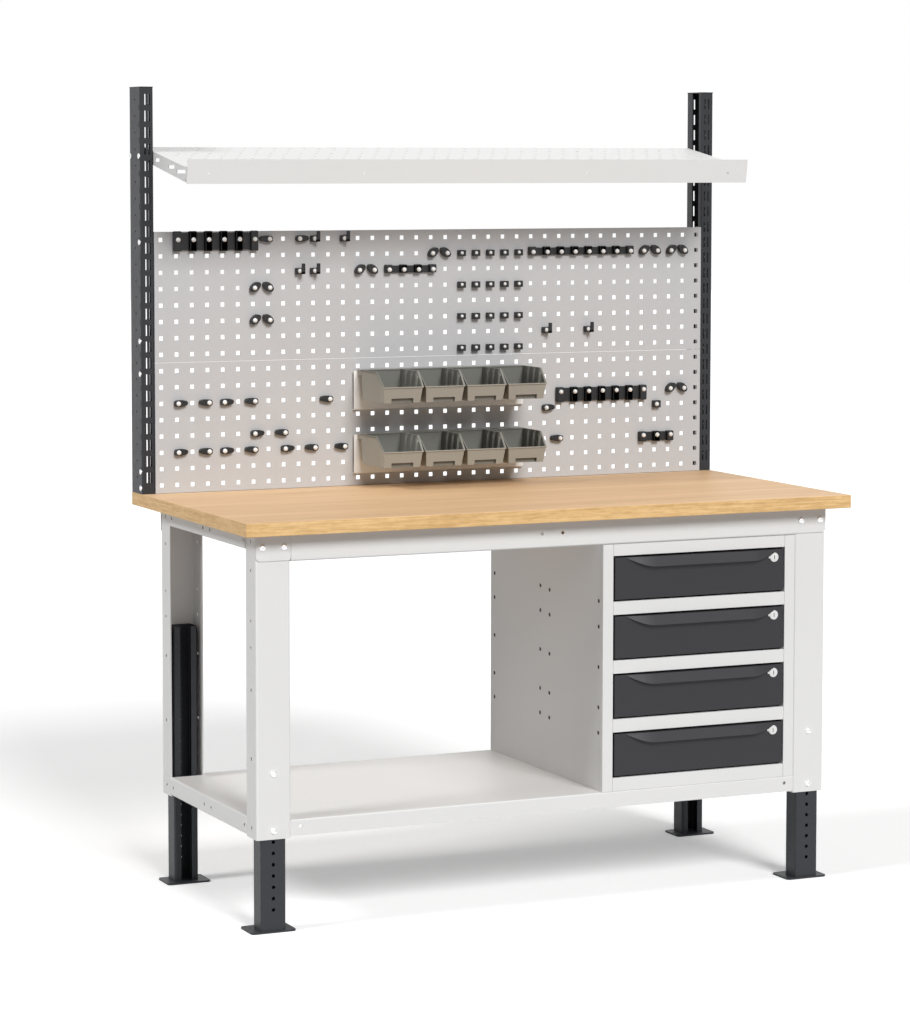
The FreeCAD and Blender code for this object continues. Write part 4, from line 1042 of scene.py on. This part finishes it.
def bin_rings(inset, bottom):
    """Rings of points round a bin at rising levels, each level cut down to the sloping rim."""
    run = BIN_RUN - BIN_LEAN - 2 * inset
    rings = []
    for share in BIN_LEVELS:
        line = []
        for station in bin_stations():
            top = bin_top(BIN_RUN * station)
            up = bottom + (top - bottom) * share
            lean = BIN_LEAN * (1 - station) * min(up / BIN_FRONT_TALL, 1.0)
            back = BIN_BACK_LEAN * station * up / BIN_TALL
            pleated = min(max((top - up) / PLEAT_BELOW, 0), 1)
            half = bin_side(BIN_RUN * station, up, pleated) - inset
            line.append(Vector((half, BIN_LEAN + inset + run * station - lean + back, up)))
        rings.append(line + [Vector((-p.x, p.y, p.z)) for p in line[::-1]])
    return rings


def make_bin(number):
    node = "bin_%d" % number
    low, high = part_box(node)
    origin = Vector(((low.x + high.x) / 2, BIN_BACK - BIN_LONG, low.z))
    rear = BIN_LONG + BIN_BACK_LEAN
    wide = BIN_FLOOR_BACK + BIN_SPREAD

    def at(x, y, z):
        return origin + Vector((x, y, z))

    bm = bmesh.new()
    rings = bin_rings(BIN_WALL, BIN_WALL) + bin_rings(0, 0)[::-1]
    skin(bm, [[origin + p for p in ring] for ring in rings])
    tub = new_piece("tub", bm)
    # the recess for a label is cut from below the front wall's foot, and a web closes it behind
    half = LABEL_WIDE / 2
    behind = BIN_LEAN + LABEL_DEEP
    cut_block(tub, at(-half, -BIN_LEAN, -MM), at(half, behind, LABEL_TALL))
    bm = taken_back(tub)
    web = at(-half - MM, behind - LABEL_LAP, LABEL_WEB_UP)
    block(bm, web, at(half + MM, behind - LABEL_LAP + LABEL_WEB, LABEL_TALL + BIN_WALL))
    # rims: up both slopes and along both sides, and then along the front
    for side in (1, -1):
        line = []
        for along in [BIN_RUN * station for station in RIM_STATIONS]:
            top = bin_top(along)
            line.append(at(side * bin_side(along, top, 0), along, top))
        line.append(at(side * wide, rear, BIN_TALL))
        section = [(RIM, 0), (RIM, -RIM_TALL), (-RIM_IN, -RIM_TALL), (-RIM_IN, RIM_PROUD)]
        skin(bm, [[p + Vector((side * x, 0, z)) for x, z in section] for p in line])
    half = bin_side(0, BIN_FRONT_TALL, 0) + RIM_END
    rim_top = BIN_FRONT_TALL + RIM_PROUD
    block(bm, at(-half, -RIM, BIN_FRONT_TALL - RIM_TALL), at(half, BIN_WALL, rim_top), edge=MOULD_EDGE)
    # the ledge with a rib under each end, and the hook
    block(bm, at(-wide, BIN_RUN - MM, BIN_TALL - LEDGE_THICK), at(wide, rear, BIN_TALL), edge=LEDGE_EDGE)
    for side in (-1, 1):
        rib = at(side * wide, BIN_RUN, BIN_TALL - RIB_TALL)
        block(bm, rib, at(side * (wide - RIB_THICK), rear - MM, BIN_TALL - RIB_THICK), edge=RIB_EDGE)
    half = HOOK_WIDE / 2
    hook = high.y - origin.y
    block(bm, at(-half, rear - HOOK_LAP, BIN_TALL - LEDGE_THICK), at(half, hook, BIN_TALL), edge=LEDGE_EDGE)
    hanging = at(-half, hook - HOOK_THICK, BIN_TALL - HOOK_TALL)
    block(bm, hanging, at(half, hook, BIN_TALL - MM), edge=MOULD_EDGE)
    # the inner faces and the web behind the label get the darker plastic: painted shade for the shade inside
    # the bin and in the recess
    bm.normal_update()
    for face in bm.faces:
        place = face.calc_center_median() - origin
        wide_face = face.calc_area() > INSIDE_FACE and place.y < BIN_RUN + BIN_WALL
        inner = wide_face and face.normal.dot(place - BIN_MIDDLE) < 0
        in_recess = abs(place.x) < LABEL_WIDE / 2 and place.z < LABEL_TALL + BIN_WALL
        web = in_recess and place.y > BIN_WEB_FROM and face.normal.y < -0.5
        face.material_index = 1 if inner or web else 0
    tub = new_piece(node + "_moulded", bm, bin_plastic, bin_painted_shade)
    fit(smooth_bends(tub, 12), node, "bin_plastic", node)


for number in range(1, 9):
    make_bin(number)

# Tool holders. Black moulded hooks, clips and strips, each held in a hole of a panel by a screw with a
# round bright head. Most stand in pairs or in rows, to hold one tool between two of them.
KNOB = 5.6 * MM
PEG_KNOB = 4 * MM
PANEL_FACE = 297 * MM
WING_THICK = 13 * MM
CLIP_THICK = 12 * MM
SOFT_EDGE = 0.8 * MM
holder_plastic = powder_coat("holder plastic", (0.014, 0.014, 0.015), roughness=0.42)
knob_paint = powder_coat("knob paint", (0.88, 0.88, 0.87), roughness=0.3, tone=0.01)


def hole_place(column, row):
    """The middle of a panel's hole, counted from the left and from the top, both from 0."""
    return Vector((FIRST_COLUMN + GRID * column, PANEL_FACE, TOP_ROW - GRID * row))


def make_copies():
    """A tree that sets one copy of a part at each point of the places, all turned the same way."""
    tree, given = new_tree("set_copies", {
        "Geometry": "Geometry", "Places": "Object", "Part": "Object", "Direction": "Vector",
    })
    part = add_node(tree, "GeometryNodeObjectInfo", {"Object": given["Part"]})
    real = set_out(tree, given, part.outputs["Geometry"])
    together = add_node(tree, "GeometryNodeJoinGeometry", {"Geometry": [given["Geometry"], real]})
    add_node(tree, "NodeGroupOutput", {"Geometry": together})
    return tree


copies_tree = make_copies()


def copies(name, part, places, direction):
    """One mesh with a copy of the part at each place."""
    return run_tree(new_piece(name, bmesh.new()), copies_tree, places, {"Part": part, "Direction": direction})


def turned_part(name, profile, material, segments=24):
    """A part turned about Z from a profile of (radius, height) in mm."""
    bm = bmesh.new()
    lathe(bm, profile, Vector((0, 0, 0)), segments)
    bmesh.ops.rotate(bm, verts=bm.verts, cent=(0, 0, 0), matrix=Matrix.Rotation(math.pi / 2, 3, "X"))
    part = new_piece(name, bm, material)
    shade_smooth(part.data, 40)
    return part


def moulding(bm, outline, way, place, thick):
    """A moulding on the panel, with its outline in mm about a hole, mirrored where the way is -1."""
    points = [(a * way * MM, b * MM) for a, b in outline]
    prism(bm, points, lambda a, b, y: (place.x + a, y, place.z + b), PANEL_FACE, PANEL_FACE - thick)


# the outline of a clip's wing, which rises from its screw towards the tool, and of a level clip
WING = [
    (-8, -8), (-3, -10), (5, -8), (11, -3), (15, 3), (16, 9), (13, 13), (6, 14), (-1, 11), (-7, 5), (-10, -2),
]
LEVEL_CLIP = [
    (-8, -4), (-5, -7), (4, -8), (14, -6), (21, -4), (24, 1), (21, 6), (12, 8), (3, 8), (-5, 7), (-8, 4),
]
# boxes of the other holders, by two opposite corners in mm from their hole
HOOK_BLOCK = (-9, -12, -8), (10, 0, 7)
HOOK_ARM = (1, -24, -7), (9, -2, -1)
HOOK_TIP = (1, -24, -7), (9, -18, 18)
PEG_BLOCK = (-7, -14, -8), (11, 0, 7)
END_BLOCK = (-8, -12, -9), (12, 0, 9)
# where they sit: column and row of a hole, and a clip's way; a strip has its first and last column, its
# row, and how far it reaches up and down from its holes in mm
WINGS = [(6, 3), (6, 5), (13, 2), (18, 1), (33, 1), (35, 1), (35, 10)]
CLIPS = [
    (1, 10, 1), (3, 10, -1), (4, 10, 1), (6, 10, -1), (1, 13, 1), (3, 13, -1), (4, 13, 1), (6, 13, -1),
    (6, 12, 1), (8, 12, -1), (8, 13, 1), (10, 13, -1), (12, 13, -1), (11, 10, -1), (26, 11, 1),
    (27, 13, -1), (7, 0, -1), (9, 0, 1),
]
HOOKS = [(10, 0), (12, 0), (9, 2), (10, 2), (26, 6), (29, 6)]
STRIPS = [
    (1, 6, 0, 20, 27), (15, 18, 2, 12, 8), (25, 32, 1, 13, 8), (27, 33, 10, 11, 26), (33, 35, 13, 9, 16),
]
PEGS = [(column, row) for row in (1, 3, 5, 7) for column in range(20, 25)]
END_HOLE = (34, 11)

bm = bmesh.new()
for column, row in WINGS:
    moulding(bm, WING, 1, hole_place(column, row), WING_THICK)
    moulding(bm, WING, -1, hole_place(column + 1, row), WING_THICK)
for column, row, way in CLIPS:
    moulding(bm, LEVEL_CLIP, way, hole_place(column, row), CLIP_THICK)
for column, row in HOOKS:
    # a block on the panel, an arm forward and a tip that stands up
    place = hole_place(column, row)
    block_at(bm, place, HOOK_BLOCK, edge=1.5)
    block_at(bm, place, HOOK_ARM, edge=1)
    block_at(bm, place, HOOK_TIP, edge=1)
for first, last, row, up, down in STRIPS:
    for column in range(first, last):
        # two cheeks and a thin back hold one tool between two screws
        place = hole_place(column, row)
        for cheek in (place, hole_place(column + 1, row)):
            block_at(bm, cheek, ((-9, -15, -down), (9, 0, up)), edge=2.5)
        block_at(bm, place, ((4, -7, -down * 0.9), (34, 0, up * 0.8)), edge=1)
for column, row in PEGS:
    block_at(bm, hole_place(column, row), PEG_BLOCK, edge=1.2)
block_at(bm, hole_place(*END_HOLE), END_BLOCK, edge=1.5)
holders = new_piece("tool_holders_moulded", bm, holder_plastic)
softened = holders.modifiers.new("soft edges", "BEVEL")
softened.width = SOFT_EDGE
softened.segments = 2
softened.limit_method = "ANGLE"
softened.angle_limit = math.radians(50)
settle(holders)
fit(smooth_bends(holders, 40), "root", "holder_plastic", "tool_holders")

# screws of the holders: column, row and distance from the panel in mm
knob_places = {(*END_HOLE, 12)}
knob_places.update((column + step, row, 13) for column, row in WINGS for step in (0, 1))
knob_places.update((column, row, 12) for column, row, way in CLIPS)
knob_places.update((column, row, 12) for column, row in HOOKS)
for first, last, row, up, down in STRIPS:
    knob_places.update((column, row, 15) for column in range(first, last + 1))


def make_knobs(name, places, radius):
    """Domed screw heads of one size; a place is a column, a row and the distance from the panel."""
    angles = [math.pi / 2 * i / 6 for i in range(6)]
    dome = [(radius * math.cos(a) / MM, radius * math.sin(a) / MM) for a in angles]
    knob = turned_part("knob", [(radius * 0.8 / MM, -2)] + dome + [(0.3, radius / MM)], knob_paint)
    spots = [hole_place(column, row) - Vector((0, out * MM, 0)) for column, row, out in sorted(places)]
    knobs = copies(name, knob, spots, ALONG_Y)
    bpy.data.objects.remove(knob)
    fit(knobs, "root", "bolt_steel")


make_knobs("holder_screws", knob_places, KNOB)
make_knobs("peg_screws", [(column, row, 14) for column, row in PEGS], PEG_KNOB)

# Bolts. Button heads with a hexagon socket hold the beams and the feet, and flat heads hold the panels
# and arms to the uprights.
# outlines of a button head with its socket and of a flat head: radius and height in mm
BUTTON = [
    (8, -0.5), (8, 0.8), (7.44, 2.025), (6.08, 3.51), (4.64, 4.275), (4.1, 4.5), (3.6, 4.32), (3.6, 1.8),
    (0.2, 1.35),
]
FLAT = [(6.5, -0.3), (6.5, 1.6), (5.6, 2.2), (0.2, 2.2)]
# bolts from the middle and up, in mm: in a beam's end, and in the leg over its foot
BEAM_BOLTS = [(695, 845.5), (645, 845.5)]
FOOT_BOLTS = [(670, 225), (670, 350)]
UPRIGHT_SIDE = 750 * MM
UPRIGHT_BOLT_LEVELS = [level * MM for level in (1687.7, 1489.3, 1260.4, 1184.5, 957.1, 919)]
UPRIGHT_BOLT_Y = 309 * MM
ARM_BOLT_Y = 367 * MM
bolt_steel = zinc("bolt steel", (0.82, 0.82, 0.82), 0.3)

button = turned_part("button", BUTTON, bolt_steel, 30)
for end, way in (("front", -1), ("rear", 1)):
    beam_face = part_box("beam_" + end)[0 if way < 0 else 1].y
    leg_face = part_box("leg_%s_left" % end)[0 if way < 0 else 1].y
    spots = []
    for sign in (-1, 1):
        spots += [(sign * x * MM, beam_face, z * MM) for x, z in BEAM_BOLTS]
        spots += [(sign * x * MM, leg_face, z * MM) for x, z in FOOT_BOLTS]
    heads = copies("frame_bolts_" + end, button, spots, (-way * math.pi / 2, 0.0, 0.0))
    fit(heads, "root", "bolt_steel", "frame_bolts")
bpy.data.objects.remove(button)

flat = turned_part("flat", FLAT, bolt_steel)
for side, name in ((-1, "left"), (1, "right")):
    spots = [(side * UPRIGHT_SIDE, UPRIGHT_BOLT_Y, level) for level in UPRIGHT_BOLT_LEVELS]
    spots.append((side * UPRIGHT_SIDE, ARM_BOLT_Y, UPRIGHT_BOLT_LEVELS[0]))
    heads = copies("upright_bolts_" + name, flat, spots, (0.0, side * math.pi / 2, 0.0))
    fit(heads, "root", "bolt_steel")
bpy.data.objects.remove(flat)

# Floor, world, lights and camera. A pale studio: a white backdrop, one broad light from the front and
# one from the left, and a floor that takes a soft grey shadow.
FLOOR = 30.0
FLOOR_BELOW = 0.4 * MM
FLOOR_DULL = 0.45
FLOOR_SHOWN = 1.4
FLOOR_GLOW = 0.28
SENSOR = 36.0
LENS = 116.232
SHIFT_X = -0.00117
SHIFT_Y = -0.08763
EYE = (-3.2533, -6.9442, 1.6856)
FAR = 60
LOOK_RIGHT = 24.510
LOOK_DOWN = 4.583
ROLL = 0.061
SKY_LOW = 0.12
SKY_HIGH = 0.24
SKY_TOP = 0.8
WHITE = (1, 1, 1, 1)

scene = bpy.context.scene
scene.view_settings.view_transform = "Standard"


def shown_rays(tree):
    """One for rays from the camera and for mirrored rays, and none for the rays that light the object."""
    rays = add_node(tree, "ShaderNodeLightPath").outputs
    either = rays["Is Camera Ray"]
    for other in ("Is Glossy Ray", "Is Transmission Ray"):
        either = add_node(tree, "ShaderNodeMath", {0: either, 1: rays[other]}, operation="MAXIMUM")
    return either


def plain(value):
    return (value, value, value, 1)


paper, tree, shader = new_material("studio paper")
tree.nodes.remove(shader)
dull = add_node(tree, "ShaderNodeBsdfDiffuse", {"Color": plain(FLOOR_DULL)})
bright = add_node(tree, "ShaderNodeBsdfDiffuse", {"Color": plain(FLOOR_SHOWN)})
glow = add_node(tree, "ShaderNodeEmission", {"Color": WHITE})
lifted = add_node(tree, "ShaderNodeMixShader", {"Fac": FLOOR_GLOW, 1: bright, 2: glow})
either = add_node(tree, "ShaderNodeMixShader", {"Fac": shown_rays(tree), 1: dull, 2: lifted})
link_inputs(tree, tree.nodes["Material Output"], {"Surface": either})
bm = bmesh.new()
bm.faces.new([bm.verts.new((x * FLOOR, y * FLOOR, 0)) for x, y in ((-1, -1), (1, -1), (1, 1), (-1, 1))])
ground = new_piece("studio_floor", bm, paper)
ground.location.z = -FLOOR_BELOW

world = bpy.data.worlds.new("studio")
scene.world = world
world.use_nodes = True
tree = world.node_tree
up = add_node(tree, "ShaderNodeSeparateXYZ", {0: add_node(tree, "ShaderNodeTexCoord").outputs["Generated"]})
strength = ranged(tree, up.outputs["Z"], SKY_LOW, SKY_HIGH)
strength.inputs["From Max"].default_value = SKY_TOP
sky = tree.nodes["Background"]
link_inputs(tree, sky, {"Color": WHITE, "Strength": strength})
backdrop = add_node(tree, "ShaderNodeBackground", {"Color": WHITE, "Strength": 1.0})
either = add_node(tree, "ShaderNodeMixShader", {"Fac": shown_rays(tree), 1: sky, 2: backdrop})
link_inputs(tree, tree.nodes["World Output"], {"Surface": either})


def sun(name, direction, strength, spread):
    light = bpy.data.lights.new(name, "SUN")
    light.energy = strength
    light.angle = math.radians(spread)
    made = bpy.data.objects.new(name, light)
    scene.collection.objects.link(made)
    made.rotation_euler = Vector(direction).to_track_quat("-Z", "Y").to_euler()


sun("key", (-0.04, 0.83, -0.56), 2.45, 22)
sun("side", (0.77, 0.03, -0.64), 1.4, 16)

seen = bpy.data.cameras.new("camera")
seen.sensor_width = SENSOR
seen.lens = LENS
seen.shift_x = SHIFT_X
seen.shift_y = SHIFT_Y
seen.clip_end = FAR
camera = bpy.data.objects.new("camera", seen)
scene.collection.objects.link(camera)
camera.location = EYE
right = Matrix.Rotation(math.radians(-LOOK_RIGHT), 4, "Z")
down = Matrix.Rotation(math.radians(90 - LOOK_DOWN), 4, "X")
roll = Matrix.Rotation(math.radians(ROLL), 4, "Z")
camera.matrix_world = Matrix.Translation(EYE) @ right @ down @ roll
scene.camera = camera

bpy.context.view_layer.update()
